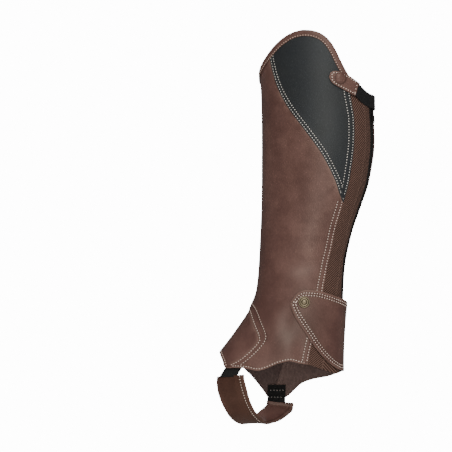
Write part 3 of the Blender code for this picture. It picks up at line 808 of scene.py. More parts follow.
# %% Main panel
SEAM_LINES = (1.7, 6.6)
OUTER_SEAM_LINES = (1.9, 7.6)
VAMP_LINES = (1.6, 8.2)
HEM_LINE = (2.3,)
LEVELS = rows_of(36, 88, 26)
PANEL_OUT = 1.8
# Patches of painted shade and painted sheen for the main panel's colour.
PAINTED_SHADE_AND_SHEEN = (
    # turn, height, round, tall, lean, amount: painted sheen if positive, painted shade if negative
    (92, -246, 16, 32, 0.0, -0.70),
    (97, -130, 9, 42, 0.0, 0.55),
    (112, -70, 9, 40, 0.0, 0.35),
)
UNDER_INSERT = 1.6
FAR_AWAY = 40.0


def above_hem(turn, height):
    return height - hem(turn)


def under_insert(height):
    """The main panel runs under the insert above its tip, and stops short below it."""
    return BUTTED + UNDER_INSERT * (1 - below(height, INSERT_TIP + 3.0, 1.0))


def main_panel():
    form = new_form()
    sides = (
        (VAMP_LATERAL, front_seam, 46, OUTER_SEAM_LINES, under_insert),
        (MEDIAL_SEAM, VAMP_MEDIAL, 10, SEAM_LINES, BUTTED),
    )
    for first, second, middle, lines, lap in sides:
        outer = second is front_seam
        turn, height, near, far = lay_out(first, second, LEVELS, columns_of(middle), BUTTED, lap)
        to_vamp, to_seam = (near, far) if outer else (far, near)
        to_hem = above_hem(turn, height)
        beside_vamp = below(height, VAMP_PEAK + 1.0, 1.2)
        sewn = below(height, INSERT_TIP + 2.0, 2.0) if outer else 1.0
        relief = sewn_edge(to_seam, lines) * sewn + sewn_edge(to_hem, HEM_LINE, 0.25)
        relief = relief + sewn_edge(to_vamp, VAMP_LINES, 0.3) * beside_vamp
        wear_and_painted_light = rubbed(to_seam, to_hem, to_vamp + FAR_AWAY * (1 - beside_vamp))
        # Painted shade: the attribute drops in each sewing channel. The patches add painted shade at
        # the ankle and painted sheen in two bands above.
        wear_and_painted_light = wear_and_painted_light - channels(to_seam, lines) * sewn - channels(to_hem, HEM_LINE)
        wear_and_painted_light = wear_and_painted_light - channels(to_vamp, VAMP_LINES) * beside_vamp
        wear_and_painted_light = wear_and_painted_light + patches(turn, height, PAINTED_SHADE_AND_SHEEN)
        points = on_leg(turn, height, PANEL_OUT + relief)
        add_grid(form, points, np.stack([near, height], axis=-1), wear_and_painted_light)
    bmesh.ops.remove_doubles(form, verts=form.verts, dist=0.05 * MM)
    slots = (BROWN, SHADED_FLESH, EDGE)
    piece = finish_piece("main_panel", form, slots, "brown_leather", "front_panel")
    return give_wall(piece, WALL)


declare(main_panel(), 270, 432)

# %% [markdown]
# The instep piece lies under the main panel's lower edge, so it sits lower and its own edges
# don't show except at the hem. The insert is a leaf of black leather laid over both of its
# neighbours, with two rows of stitches along each side.

# %% Instep piece and insert
VAMP_OUT = 1.1
VAMP_LAP = 1.5
VAMP_PEAK_TURN = -41.0
INSERT_OUT = 2.2
INSERT_FRONT_LINES = (1.9, 5.7)
INSERT_BACK_LINES = (1.9, 7.6)


def plain_panel(name, seams, laps, rows, columns, out, relief, thickness, materials, slot,
                *nodes, lines=((), (), ())):
    """A panel between two seams. relief is a function of the distances to its edges."""
    turn, height, near, far = lay_out(*seams, rows, columns, *laps)
    low = above_hem(turn, height)
    points = on_leg(turn, height, out + relief(near, far, low))
    form = new_form()
    wear_and_painted_light = rubbed(near, far, low)
    # Painted shade: the attribute drops in each row of stitches.
    for distance, rows_of_stitches in zip((near, far, low), lines):
        wear_and_painted_light = wear_and_painted_light - channels(distance, rows_of_stitches)
    add_grid(form, points, np.stack([near, height], axis=-1), wear_and_painted_light)
    piece = finish_piece(name, form, materials, slot, *nodes)
    return give_wall(piece, thickness)


def instep_piece():
    peak = (VAMP_PEAK - hem(VAMP_PEAK_TURN)) / (ANKLE_LINE - hem(VAMP_PEAK_TURN))
    return plain_panel(
        "instep_piece", (VAMP_MEDIAL, VAMP_LATERAL), (VAMP_LAP, VAMP_LAP),
        rows_from_hem(40, 0.99 * peak), columns_of(30), VAMP_OUT,
        lambda near, far, low: sewn_edge(low, HEM_LINE, 0.2), WALL, LEATHER_SLOTS,
        "brown_leather", "vamp", lines=((), (), HEM_LINE),
    )


def insert_leaf():
    rows = [(0.0, 0.0, INSERT_TIP + 0.4 * k) for k in range(6)]
    start, count = rows[-1][2], 46
    for k in range(1, count + 1):
        rows.append((0.0, 0.0, start + (KNEE_LINE - start) * k / count))
    rows += [row for row in LEVELS if row[1] > 0]
    return plain_panel(
        "insert_leaf", (front_seam, LATERAL_SEAM), (BUTTED, BUTTED), rows, columns_of(22),
        INSERT_OUT,
        lambda near, far, low: (
            sewn_edge(near, INSERT_FRONT_LINES) + sewn_edge(far, INSERT_BACK_LINES)
        ),
        WALL, BLACK_SLOTS, "black_leather", "insert",
        lines=(INSERT_FRONT_LINES, INSERT_BACK_LINES, ()),
    )


declare(instep_piece(), 95, 95)
declare(insert_leaf(), 107, 214)

# %% [markdown]
# Behind the outer seam come the stretch panel and the zip. On the inner side one more
# leather panel runs from the seam back to the zip. The stretch panel lies lower than the
# leather that laps onto it, and the zip's tape lower still.

# %% Back pieces
FEW_STEPS = (0.0, 0.6, 1.4, 2.4)
NARROW = columns_of(10, FEW_STEPS)
BACK_LINES = (2.0, 6.4)
STRETCH_OUT = 1.3
ZIP_OUT = 0.8
PANEL_LAP = 2.0
TAPE_LAP = 1.5
TAPE_THICK = 1.0


def flat_relief(near, far, low):
    return rolled(low)


def stretch_panel():
    return plain_panel(
        "stretch_panel", (LATERAL_SEAM, ELASTIC_BACK), (PANEL_LAP, BUTTED), LEVELS, NARROW,
        STRETCH_OUT, flat_relief, WALL, (STRETCH,) * 3, "brown_elastic", "elastic_panel",
    )


def zip_tape():
    return plain_panel(
        "zip_tape", (ELASTIC_BACK, BACK_EDGE), (TAPE_LAP, TAPE_LAP), LEVELS, NARROW,
        ZIP_OUT - 0.1, flat_relief, TAPE_THICK, (ZIP_TAPE,) * 3, "zip_tape",
        "zip_tape_side", "zip_tape_back",
    )


def inner_back_panel():
    return plain_panel(
        "inner_back_panel", (back_edge, MEDIAL_SEAM), (BUTTED, PANEL_LAP), LEVELS,
        columns_of(26), PANEL_OUT,
        lambda near, far, low: (
            sewn_edge(near, BACK_LINES) + sewn_edge(low, HEM_LINE, 0.25)
            - 0.9 * below(far, 0.9, 0.5)
        ),
        WALL, LEATHER_SLOTS, "brown_leather", "back_panel", lines=(BACK_LINES, (), HEM_LINE),
    )


declare(stretch_panel(), 36, 372)
declare(zip_tape(), 24, 345)
declare(inner_back_panel(), 105, 394)

# %% [markdown]
# The wrap starts at the inner back edge, goes round the heel and ends in a round tongue on
# the outer side. Its tongue is rounder than a grid's corner, so the rows come together
# there. It stands proud of the elastic at the top of the heel, as the photograph shows.

# %% Ankle wrap
FLAP_TOP = Table((
    (82, -203.5), (83.5, -200.0), (86.2, -196.0), (91.8, -191.8), (97.3, -190.4),
    (112, -191.0), (130, -194.3), (146, -197.9), (160, -200.8), (172, -202.8),
    (180, -203.6), (208, -206.5),
))
FLAP_FOOT = Table((
    (82, -209.0), (85, -214.6), (90.5, -222.2), (101, -235.0), (112, -248.3),
    (121.5, -260.3), (134.3, -274.2), (148.5, -284.4), (161.5, -288.6), (172, -289.2),
    (180, -289.2), (208, -289.2),
))
FLAP_TIP_TURN = 82.0
FLAP_BASE_TURN = 207.0
FLAP_THICK = 1.8
FLAP_LINES = (3.4, 6.5)
FLAP_BASE_LINES = (1.8, 5.4)
FLAP_SEAT = 2.1
FLAP_STANDS_OFF = ((170, -198, 26, 34, 0.0, 3.4),)
# A patch of painted shade on the wrap's colour.
FLAP_PAINTED_SHADE = ((112, -232, 26, 36, 0.0, -0.55),)


def flap_seat(turn, height):
    """How far the wrap's inner face is off the leg form."""
    return FLAP_SEAT + patches(turn, height, FLAP_STANDS_OFF)


def flap_turn(share):
    """Turn at a share of the way from the tongue's tip to the wrap's base."""
    return FLAP_TIP_TURN + (FLAP_BASE_TURN - FLAP_TIP_TURN) * share


def flap_grid(columns=90, steps=40):
    """A grid whose columns crowd towards the tip, and its rows towards both edges."""
    turn = flap_turn(np.linspace(0, 1, columns + 1)[None, :] ** 1.35)
    even = np.linspace(0, 1, steps + 1)[:, None]
    up = 0.5 * (0.5 - 0.5 * np.cos(np.pi * even)) + 0.5 * even
    low, high = FLAP_FOOT(turn), FLAP_TOP(turn)
    return turn + 0 * up, low + (high - low) * up


def flap_outline(count=260):
    """The wrap's free edge, from its base over the tongue and back along the heel."""
    turn = flap_turn(np.linspace(1, 0, count) ** 1.6)
    heights = np.concatenate([FLAP_FOOT(turn), FLAP_TOP(turn[::-1])])
    return np.concatenate([turn, turn[::-1]]), heights


def distance_to_line(turn, height, line):
    """Cloth distance from each grid point to a line, in mm."""
    line_turn, line_height = line
    scale = per_degree(turn, height)
    best = np.full(turn.shape, 1e9)
    for at, level in zip(line_turn[::2], line_height[::2]):
        best = np.minimum(best, np.hypot((turn - at) * scale, height - level))
    return best


def ankle_wrap():
    turn, height = flap_grid()
    edge = distance_to_line(turn, height, flap_outline())
    base = (FLAP_BASE_TURN - turn) * per_degree(turn, height)
    relief = sewn_edge(edge, FLAP_LINES, 0.3) + sewn_edge(base, FLAP_BASE_LINES, 0.2)
    sag = 0.35 * np.sin((turn - 120.0) / 9.0) * hump(height + 240.0, 26.0)
    points = on_leg(turn, height, flap_seat(turn, height) + FLAP_THICK + relief + sag)
    form = new_form()
    cloth = np.stack([turn * 0.7, height], axis=-1)
    # Painted shade darkens the stitch channels and the patch.
    wear_and_painted_light = rubbed(edge) - channels(edge, FLAP_LINES) - channels(base, FLAP_BASE_LINES)
    wear_and_painted_light = wear_and_painted_light + patches(turn, height, FLAP_PAINTED_SHADE)
    add_grid(form, points, cloth, wear_and_painted_light)
    piece = finish_piece("ankle_wrap", form, LEATHER_SLOTS, "brown_leather", "flap")
    return give_wall(piece, FLAP_THICK, 0.35)


declare(ankle_wrap(), 115, 99)

# %% [markdown]
# The top edge is bound with a folded strip. Its section is a U: up the outside, over and
# down the inside. The grid's columns follow that U and its rows follow the rim.

# %% Top binding
BINDING_ENDS = (-180.8, 124.8)
BINDING_LEG = 6.0
BINDING_LINE = 4.7
BINDING_OUT = 3.3
BINDING_IN = -1.7
BINDING_CROWN = 2.2
BINDING_THICK = 0.85


def along_rim(turn):
    """The rim's own directions: cloth shifts in turn and height for one mm above the edge."""
    length = per_degree(turn, rim(turn))
    ahead = (rim(turn + 1.0) - rim(turn - 1.0)) / 2
    size = np.hypot(length, ahead)
    return -ahead / size / length, length / size


def binding_section():
    """Out and above, from the outer foot over the crown to the inner foot."""
    steps = (0, 0.5, 1.0, 1.3, 1.6, 2.2, 3.2, 4.4, 5.4)
    outer = [(BINDING_OUT, -BINDING_LEG + step) for step in steps]
    middle, half = (BINDING_OUT + BINDING_IN) / 2, (BINDING_OUT - BINDING_IN) / 2
    arch = [
        (middle + half * math.cos(a), -0.2 + (BINDING_CROWN + 0.2) * math.sin(a))
        for a in np.linspace(0, math.pi, 11)
    ]
    inner = [(BINDING_IN, -step) for step in (1.5, 3.0, 4.5, 6.0)]
    return np.array(outer + arch + inner)


def top_binding():
    section = binding_section()
    turn = np.linspace(*BINDING_ENDS, 260)[:, None]
    slide, climb = along_rim(turn)
    out, above = section[None, :, 0], section[None, :, 1]
    on_outside = out >= BINDING_OUT - 0.01
    channel = np.where(on_outside, hump(above + BINDING_LINE, 0.6), 0.0)
    lift = out - CHANNEL_DEPTH * channel
    points = on_leg(turn + slide * above, rim(turn) + climb * above, lift)
    form = new_form()
    cloth = np.stack([turn * 0.9 + 0 * out, above + 0 * turn], axis=-1)
    # The crown is worn lighter, and painted shade darkens the stitch channel.
    wear_and_painted_light = hump(above - BINDING_CROWN, 1.2) - channel + 0 * turn
    add_grid(form, points[:, ::-1], cloth[:, ::-1], wear_and_painted_light[:, ::-1])
    bmesh.ops.recalc_face_normals(form, faces=form.faces)
    piece = finish_piece("rim_binding", form, LEATHER_SLOTS, "brown_leather", "top_binding")
    return give_wall(piece, BINDING_THICK, 0.2)


declare(top_binding(), 19, 396)

# %% [markdown]
# The top fastening is a leather tab on a short band of black elastic. The tab is sewn all
# round, and a covered snap raises an oval on it. Both follow a line on the leg with a width.

# %% Top fastening
TAB_ROWS = (
    (102.6, 78.6, 1.6), (103.6, 78.0, 4.2), (105.5, 76.8, 6.4), (109, 74.4, 8.4),
    (114, 71.4, 9.1), (120, 68.0, 9.3), (127, 63.7, 8.9), (132.6, 60.3, 8.5),
)
BAND_ROWS = (
    (133.4, 59.8, 8.0), (146.0, 51.6, 8.4), (160.0, 47.5, 8.6), (177.4, 45.4, 8.4),
)
BAND_SEAT = Table((
    (133.4, 3.7), (143, 1.6), (156, 1.6), (162.5, 3.7), (171, 3.7), (175, 1.6), (177.4, 1.1),
))
TAB_OUT = 5.7
TAB_THICK = 1.9
TAB_EASE = 1.5
BUMP_AT = (113.3, 74.0)
BUMP_RADIUS = 6.2
BUMP_SHARE = 0.86
TAB_LINE_INSET = 2.0
ELASTIC_THICK = 1.5


def ribbon(rows, across, along, ease=1.0):
    """A grid along a line on the leg: rows over its width, columns that crowd at its start."""
    middle, half = Table(rows, 1), Table(rows, 2)
    first, last = rows[0][0], rows[-1][0]
    turn = (first + (last - first) * np.linspace(0, 1, along + 1) ** ease)[None, :]
    side = np.linspace(-1, 1, across + 1)[:, None]
    ahead = middle(turn + 0.5) - middle(turn - 0.5)
    scale = per_degree(turn, middle(turn))
    size = np.hypot(scale, ahead)
    shift = side * half(turn)
    return turn - shift * ahead / size / scale, middle(turn) + shift * scale / size


def fastening_tab():
    turn, height = ribbon(TAB_ROWS, 30, 56, TAB_EASE)
    scale = per_degree(turn, height)
    edges = np.concatenate([turn[0], turn[-1]]), np.concatenate([height[0], height[-1]])
    edge = distance_to_line(turn, height, edges)
    across = (turn - BUMP_AT[0]) * scale / BUMP_SHARE
    away = np.hypot(across, height - BUMP_AT[1]) / BUMP_RADIUS
    bump = 1.9 * np.exp(-away ** 4) - 0.25 * hump(away - 1.28, 0.16)
    relief = sewn_edge(edge, (TAB_LINE_INSET,), 0.0) + bump
    form = new_form()
    # The snap's raised oval is worn lighter round its shoulder; painted shade darkens the stitch
    # channel and the groove round its foot.
    wear_and_painted_light = np.maximum(rubbed(edge), 0.5 * hump(away - 0.85, 0.2))
    wear_and_painted_light = wear_and_painted_light - channels(edge, (TAB_LINE_INSET,)) - 0.9 * hump(away - 1.25, 0.22)
    add_grid(form, on_leg(turn, height, TAB_OUT + relief), np.stack([turn, height], -1), wear_and_painted_light)
    piece = finish_piece("fastening_tab", form, LEATHER_SLOTS, "brown_leather", "top_tab")
    return give_wall(piece, TAB_THICK, 0.35)


def webbing_piece(name, node, turn, height, out, cloth, rounding):
    """A grid of black elastic with its wall."""
    form = new_form()
    add_grid(form, on_leg(turn, height, out), cloth, 0 * turn)
    piece = finish_piece(name, form, (WEBBING,) * 3, "black_elastic", node)
    return give_wall(piece, ELASTIC_THICK, rounding)


def fastening_band():
    turn, height = ribbon(BAND_ROWS, 12, 60)
    out = BAND_SEAT(turn) + ELASTIC_THICK
    cloth = np.stack([height, turn * 0.95], -1)
    return webbing_piece("fastening_band", "top_band", turn, height, out, cloth, 0.28)


declare(fastening_tab(), 41, 19)
declare(fastening_band(), 51, 18)

# %% [markdown]
# The foot strap hangs in a loop from two elastics. It doesn't lie on the leg, so it follows
# its own line of places, with a width and the direction of that width.

# %% Foot strap
STRAP_ROWS = np.array((
    # x, y, z and width, and the angle in plan that its width makes with X
    (-109.4, -26.8, -296.4, 37.0, -24),
    (-109.2, -27.8, -305.5, 37.5, -20),
    (-106.3, -28.2, -318.0, 37.0, -12),
    (-101.0, -24.0, -332.5, 34.5, -4),
    (-92.5, -14.5, -345.5, 32.5, 0),
    (-80.5, 0.0, -353.0, 31.0, 0),
    (-68.5, 14.5, -349.0, 31.0, 1),
    (-55.8, 27.0, -340.8, 32.3, 2),
    (-48.0, 35.8, -332.5, 33.0, 0),
    (-47.5, 38.2, -324.95, 33.5, -1),
))
STRAP_THICK = 2.4
STRAP_CROWN = 0.9
STRAP_LINE_INSET = 5.2
STRAP_SLANT = 6.0
SLANT_FROM = 0.86
HALF_STRAP = 16.5
STRAP_LENGTH = 110.0


def along_strap(share):
    """A smooth read of every column of the strap's rows."""
    count = len(STRAP_ROWS)
    at = np.asarray(share) * (count - 1)
    i = np.clip(at.astype(int), 0, count - 2)
    u = (at - i)[..., None]
    a, b = STRAP_ROWS[np.maximum(i - 1, 0)], STRAP_ROWS[i]
    c, d = STRAP_ROWS[i + 1], STRAP_ROWS[np.minimum(i + 2, count - 1)]
    return 0.5 * (
        2 * b + (c - a) * u + (2 * a - 5 * b + 4 * c - d) * u * u
        + (3 * b - a - 3 * c + d) * u ** 3
    )


def on_strap(share, side, out):
    """Points of the strap: side is -1 to 1 over its width, out is off its middle plane."""
    row = along_strap(share)
    after, before = along_strap(np.minimum(share + 0.01, 1)), along_strap(np.maximum(share - 0.01, 0))
    ahead = unit((after - before)[..., :3])
    plan = np.radians(row[..., 4])
    across = np.stack([np.cos(plan), np.sin(plan), 0 * plan], axis=-1)
    across = unit(across - ahead * (across * ahead).sum(-1, keepdims=True))
    outward = unit(np.cross(ahead, across))
    crown = STRAP_CROWN * (1 - side * side) * np.sin(np.pi * share)
    aside, lift = side * row[..., 3] / 2, out + crown
    points = row[..., :3] + across * aside[..., None] + outward * lift[..., None]
    ending = np.clip((share - SLANT_FROM) / (1 - SLANT_FROM), 0, 1)
    points[..., 2] -= STRAP_SLANT * ending * (side + 1) / 2
    return points


def foot_strap():
    share, side = np.meshgrid(np.linspace(0, 1, 91), np.linspace(-1, 1, 41), indexing="ij")
    edge = (1 - np.abs(side)) * HALF_STRAP
    right = (1 - side) * HALF_STRAP
    relief = -0.5 * hump(edge, 0.9) - CHANNEL_DEPTH * hump(right - STRAP_LINE_INSET, 0.7)
    relief = relief + 0.35 * below(right, STRAP_LINE_INSET + 1.2, 0.5)
    relief = relief - 0.3 * hump(share - 0.34, 0.02) * hump(side + 0.3, 1.0)
    relief = relief + 0.3 * hump(share - 0.40, 0.02) * hump(side - 0.2, 1.0)
    points = on_strap(share, side, STRAP_THICK / 2 + relief)
    form = new_form()
    cloth = np.stack([side * HALF_STRAP, share * STRAP_LENGTH], axis=-1)
    # Painted shade darkens the stitch channel.
    wear_and_painted_light = rubbed(edge) - channels(right, (STRAP_LINE_INSET,))
    add_grid(form, points[::-1], cloth[::-1], wear_and_painted_light[::-1])
    slots = (STRAP_HIDE_AND_SHADE, BROWN, EDGE)
    piece = finish_piece("under_foot_strap", form, slots, "brown_leather", "foot_strap")
    return give_wall(piece, STRAP_THICK - 0.1, 0.5)


declare(foot_strap(), 37, 138)

# %% [markdown]
# The two elastics are sewn inside the wall at the hem, with the strap on their lower ends.

# %% Strap elastics
ELASTICS = (
    # name, flat size, node, lower turns, upper turns, lower and upper heights, out
    ("side_elastic", (25, 32), "strap_elastic_side",
     (41.5, 60.0), (40.5, 60.5), (-297.8, -266.0), -1.0),
    ("inner_elastic", (24, 22.5), "strap_elastic_inner",
     (-107.4, -93.8), (-104.0, -89.5), (-327.5, -305.0), -0.3),
)
ELASTIC_WIDE = 24.0


def between(ends, share):
    return ends[0] + (ends[1] - ends[0]) * share


for name, flat, node, low_turns, high_turns, heights, out in ELASTICS:
    up, across = np.meshgrid(np.linspace(0, 1, 25), np.linspace(0, 1, 25), indexing="ij")
    turn = between((between((low_turns[0], high_turns[0]), up),
                    between((low_turns[1], high_turns[1]), up)), across)
    height = between(heights, up)
    cloth = np.stack([ELASTIC_WIDE * across, height], axis=-1)
    declare(webbing_piece(name, node, turn, height, out, cloth, 0.2), *flat)

# %% [markdown]
# Sewing is what the eye looks for on leather. A stitch is a few faces: a low-poly sphere
# stretched into a grain of thread, sunk at both ends. One mesh is repeated along each line
# at the thread's pitch, with numpy, and joined into a piece for each colour and place.

# %% The stitch
STITCH_PITCH = 3.4
STITCH_LONG = 1.62
STITCH_WIDE = 1.25
STITCH_TALL = 0.9
STITCH_SLANT = 0.12
LOOK_AHEAD = 0.4


def small_shape(form):
    """The points and faces of a small mesh that is going to be repeated."""
    points = np.array([vertex.co[:] for vertex in form.verts])
    faces = [[vertex.index for vertex in face.verts] for face in form.faces]
    form.free()
    return points, faces


def stitch():
    """One stitch along X."""
    form = bmesh.new()
    bmesh.ops.create_uvsphere(form, u_segments=6, v_segments=5, radius=0.5)
    bmesh.ops.scale(form, verts=form.verts, vec=(STITCH_WIDE, STITCH_TALL, STITCH_LONG))
    points, faces = small_shape(form)
    return points[:, [2, 0, 1]], faces


STITCH = stitch()


def even_places(points, outward, pitch):
    """Places at an even pitch along a polyline, with the line's and the surface's directions."""
    steps = np.linalg.norm(np.diff(points, axis=0), axis=1)
    run = np.concatenate([[0.0], np.cumsum(steps)])
    count = max(1, int(run[-1] / pitch))
    marks = (np.arange(count) + 0.5) * run[-1] / count
    place, ahead, back = (
        np.stack([np.interp(marks + step, run, points[:, k]) for k in range(3)], axis=1)
        for step in (0.0, LOOK_AHEAD, -LOOK_AHEAD)
    )
    nearest = [int(np.argmin(((points - p) ** 2).sum(axis=1))) for p in place]
    return place, unit(ahead - back), outward[nearest]


def repeat_along(shape, place, ahead, outward, slant=STITCH_SLANT):
    """Copies of one small mesh at each place, turned along the line and out of the surface.

    The slant is the angle that each copy makes with the line, as stitches do.
    """
    points, faces = shape
    aside = unit(np.cross(outward, ahead))
    outward = np.cross(ahead, aside)
    along = ahead * math.cos(slant) + aside * math.sin(slant)
    axes = (along, np.cross(outward, along), outward)
    copies = place[:, None, :] + sum(
        points[None, :, k:k + 1] * axis[:, None, :] for k, axis in enumerate(axes)
    )
    moved = [
        [index + k * len(points) for index in face] for k in range(len(place)) for face in faces
    ]
    return copies.reshape(-1, 3), moved


def repeated_piece(name, groups, material, slot=None, *nodes):
    """Join groups of repeated points and faces into one piece."""
    faces, start = [], 0
    for points, group_faces in groups:
        faces += [[index + start for index in face] for face in group_faces]
        start += len(points)
    mesh = bpy.data.meshes.new(name)
    places = np.concatenate([points for points, group_faces in groups]) * MM
    mesh.from_pydata(places.tolist(), [], faces)
    print(f"{name}: {len(groups)} lines, {len(faces)} faces")
    return place_piece(mesh, (material,), nodes)


# %% [markdown]
# A stitch line is usually an edge, moved over by a few millimetres of cloth. `beside` does
# that for any line on the leg. `sewn_line` lifts it to the leather's outer face and repeats
# the stitch along it.

# %% Stitch lines
THREAD_SITS = 0.02
CLEAR_OF_HEM = 3.2
CLEAR_OF_RIM = 6.6


def beside(line, distance):
    """Move a line on the leg to its left by a cloth distance."""
    turn, height = line
    scale = per_degree(turn, height)
    across, up = np.gradient(turn) * scale, np.gradient(height)
    size = np.hypot(across, up)
    return turn - up / size * distance / scale, height + across / size * distance


def sewn_line(line, out):
    """Stitches along a line on the leg, at a number or function for the leather's face."""
    turn, height = line
    lift = out(turn, height) if callable(out) else out + 0 * turn
    points = on_leg(turn, height, lift + THREAD_SITS)
    return repeat_along(STITCH, *even_places(points, form_normal(turn, height), STITCH_PITCH))


def sewing(name, lines, thread_finish):
    """One piece of thread from several lines, each with how far out it lies."""
    return repeated_piece(name, [sewn_line(line, out) for line, out in lines], thread_finish)


def seam_line(seam, low, high, count=400):
    """A seam as a line going up the leg."""
    height = np.linspace(low, high, count)
    return seam(height) + 0 * height, height


def clipped(line, keep):
    turn, height = line
    mask = keep(turn, height)
    return turn[mask], height[mask]


def above_hem_line(turn, height):
    return height > hem(turn) + CLEAR_OF_HEM


def inside_edges(turn, height):
    """Clear of the hem and under the binding."""
    return above_hem_line(turn, height) & (height < rim(turn) - CLEAR_OF_RIM)


def rows_beside(edge, side, distances, out):
    """Rows of stitches on one side of an edge, clear of the hem and the rim."""
    return [(clipped(beside(edge, side * away), inside_edges), out) for away in distances]


# %% [markdown]
# Now the lines themselves. The main panel is sewn down along its outer seam below the
# insert, along the inner seam and round the instep piece. The insert has two rows on each
# side, and the hem and the binding have one each.

# %% Sewing on the panels
VAMP_INNER_ROW = 5.4
HEM_SPANS = (
    # first turn, last turn, out
    (-179.0, -49.0, PANEL_OUT), (-46.0, 46.5, VAMP_OUT), (50.0, 116.0, PANEL_OUT),
)


def panel_lines():
    outer = seam_line(LATERAL_SEAM, -300, INSERT_TIP + 1.0)
    inner = seam_line(MEDIAL_SEAM, -330, 90)
    back = seam_line(back_edge, -300, 60)
    return (
        rows_beside(outer, 1, OUTER_SEAM_LINES, PANEL_OUT)
        + rows_beside(inner, -1, SEAM_LINES, PANEL_OUT)
        + rows_beside(back, -1, BACK_LINES, PANEL_OUT)
    )


def vamp_edge():
    """The main panel's lower edge over the instep piece, from the inner hem to the outer."""
    low, high = np.linspace(-290, VAMP_PEAK, 160), np.linspace(VAMP_PEAK, -290, 240)[1:]
    turn = np.concatenate([VAMP_MEDIAL(low), VAMP_LATERAL(high)])
    return turn, np.concatenate([low, high])


def vamp_lines():
    """Two rows that lie closer together on the inner side than on the outer."""
    edge = clipped(vamp_edge(), lambda turn, height: height > hem(turn) + 0.5)
    outer_share = np.clip((edge[0] + 45.0) / 60.0, 0.0, 1.0)
    rows = (VAMP_LINES[0], between((VAMP_INNER_ROW, VAMP_LINES[1]), outer_share))
    return [(clipped(beside(edge, away), above_hem_line), PANEL_OUT - 0.05) for away in rows]


def hem_lines():
    made = []
    for first, last, out in HEM_SPANS:
        turn = np.linspace(first, last, 400)
        made.append((beside((turn, hem(turn)), HEM_LINE[0]), out))
    return made


def on_insert(turn, height):
    return (turn > front_seam(height) + 0.8) & (turn < LATERAL_SEAM(height) - 0.8)


def insert_lines():
    front = seam_line(front_seam, INSERT_TIP + 1.0, 120)
    back = seam_line(LATERAL_SEAM, INSERT_TIP + 1.0, 80)
    rows = rows_beside(front, -1, INSERT_FRONT_LINES, INSERT_OUT)
    rows += rows_beside(back, 1, INSERT_BACK_LINES, INSERT_OUT)
    return [(clipped(line, on_insert), out) for line, out in rows]


def binding_stitches():
    turn = np.linspace(BINDING_ENDS[0] + 0.5, 119.0, 700)
    slide, climb = along_rim(turn)
    line = (turn - slide * BINDING_LINE, rim(turn) - climb * BINDING_LINE)
    return [(line, BINDING_OUT - 0.3)]


sewing("thread_panels", panel_lines() + vamp_lines() + hem_lines(), CREAM)
sewing("thread_insert", insert_lines(), IVORY)
sewing("thread_binding", binding_stitches(), TAN)

# %% [markdown]
# The wrap is sewn twice round its free edge and twice up its base. The pointed hem has a
# half-round of stitches that holds the strap's inner elastic, and that elastic shows two
# rows inside. The tab is sewn round its edge, and the strap has one row.

# %% Sewing on the small pieces
TACK_AT = (-98.6, -313.2)
TACK_RADIUS = 8.4
TACK_OUT = PANEL_OUT + 0.1
INSIDE_LEVELS = (-311.8, -320.6)
INSIDE_TURNS = (-104.2, -92.0)
INSIDE_OUT = -1.9


def flap_face(turn, height):
    return flap_seat(turn, height) + FLAP_THICK


def flap_lines():
    made = []
    for distance in FLAP_LINES:
        turn, height = beside(flap_outline(), -distance)
        keep = (turn < FLAP_BASE_TURN - 9.0) & (height < FLAP_TOP(turn) - distance * 0.8)
        made.append(((turn[keep], height[keep]), flap_face))
    level = np.linspace(-285.0, -208.5, 120)
    scale = per_degree(FLAP_BASE_TURN + 0 * level, level)
    return made + [((FLAP_BASE_TURN - away / scale, level), flap_face) for away in FLAP_BASE_LINES]


def point_tack():
    """The half-round of stitches at the hem's point: a bar and a bow under it."""
    turn, level = TACK_AT
    reach = TACK_RADIUS / per_degree(np.array(turn), np.array(level))
    across, angle = np.linspace(-1, 1, 60), np.linspace(math.pi, math.tau, 90)
    bar = (turn + across * reach, level + 0 * across)
    bow = (turn + np.cos(angle) * reach, level + np.sin(angle) * TACK_RADIUS * 0.86)
    return [(bar, TACK_OUT), (bow, TACK_OUT)]


def tab_lines():
    """A row round the tab's tongue, and one across its sewn end."""
    grid = ribbon(TAB_ROWS, 2, 200, TAB_EASE)
    around = tuple(np.concatenate([part[0][::-1], part[-1]]) for part in grid)
    inside = beside(around, -TAB_LINE_INSET)
    across = np.linspace(0.10, 0.90, 40)
    end = tuple(between((part[0, -1], part[-1, -1]), across) for part in grid)
    return [
        (clipped(inside, lambda turn, height: (turn > 104.6) & (turn < 131.6)), TAB_OUT - 0.1),
        (beside(end, TAB_LINE_INSET), TAB_OUT - 0.1),
    ]


def strap_stitches():
    share = np.linspace(0.012, 0.985, 500)
    side = 1 - STRAP_LINE_INSET / HALF_STRAP + 0 * share
    points, lifted = (on_strap(share, side, STRAP_THICK / 2 + up + 0 * share) for up in (0.0, 1.0))
    return repeat_along(STITCH, *even_places(points, unit(lifted - points), STITCH_PITCH))


def inside_rows():
    turn = np.linspace(*INSIDE_TURNS, 80)
    return [((turn, level + 0 * turn), INSIDE_OUT) for level in INSIDE_LEVELS]


sewing("thread_wrap", flap_lines(), CREAM)
sewing("thread_point", point_tack(), CREAM)
sewing("thread_tab", tab_lines(), CREAM)
repeated_piece("thread_strap", [strap_stitches()], CREAM)
sewing("thread_inner_elastic", inside_rows(), GREY)

# %% [markdown]
# The zip's chain is two rows of moulded teeth that mesh down the middle. One tooth is a
# bevelled cube, repeated left and right by turns.

# %% Zip teeth
TOOTH_PITCH = 1.5
TOOTH_SIZE = (1.05, 2.7, 1.5)
TOOTH_SWING = 0.75


def tooth():
    form = bmesh.new()
    bmesh.ops.create_cube(form, size=1.0)
    bmesh.ops.scale(form, verts=form.verts, vec=TOOTH_SIZE)
    bmesh.ops.bevel(
        form, geom=form.edges[:], offset=0.28, segments=1, profile=0.5, affect="EDGES",
        material=-1,
    )
    return small_shape(form)


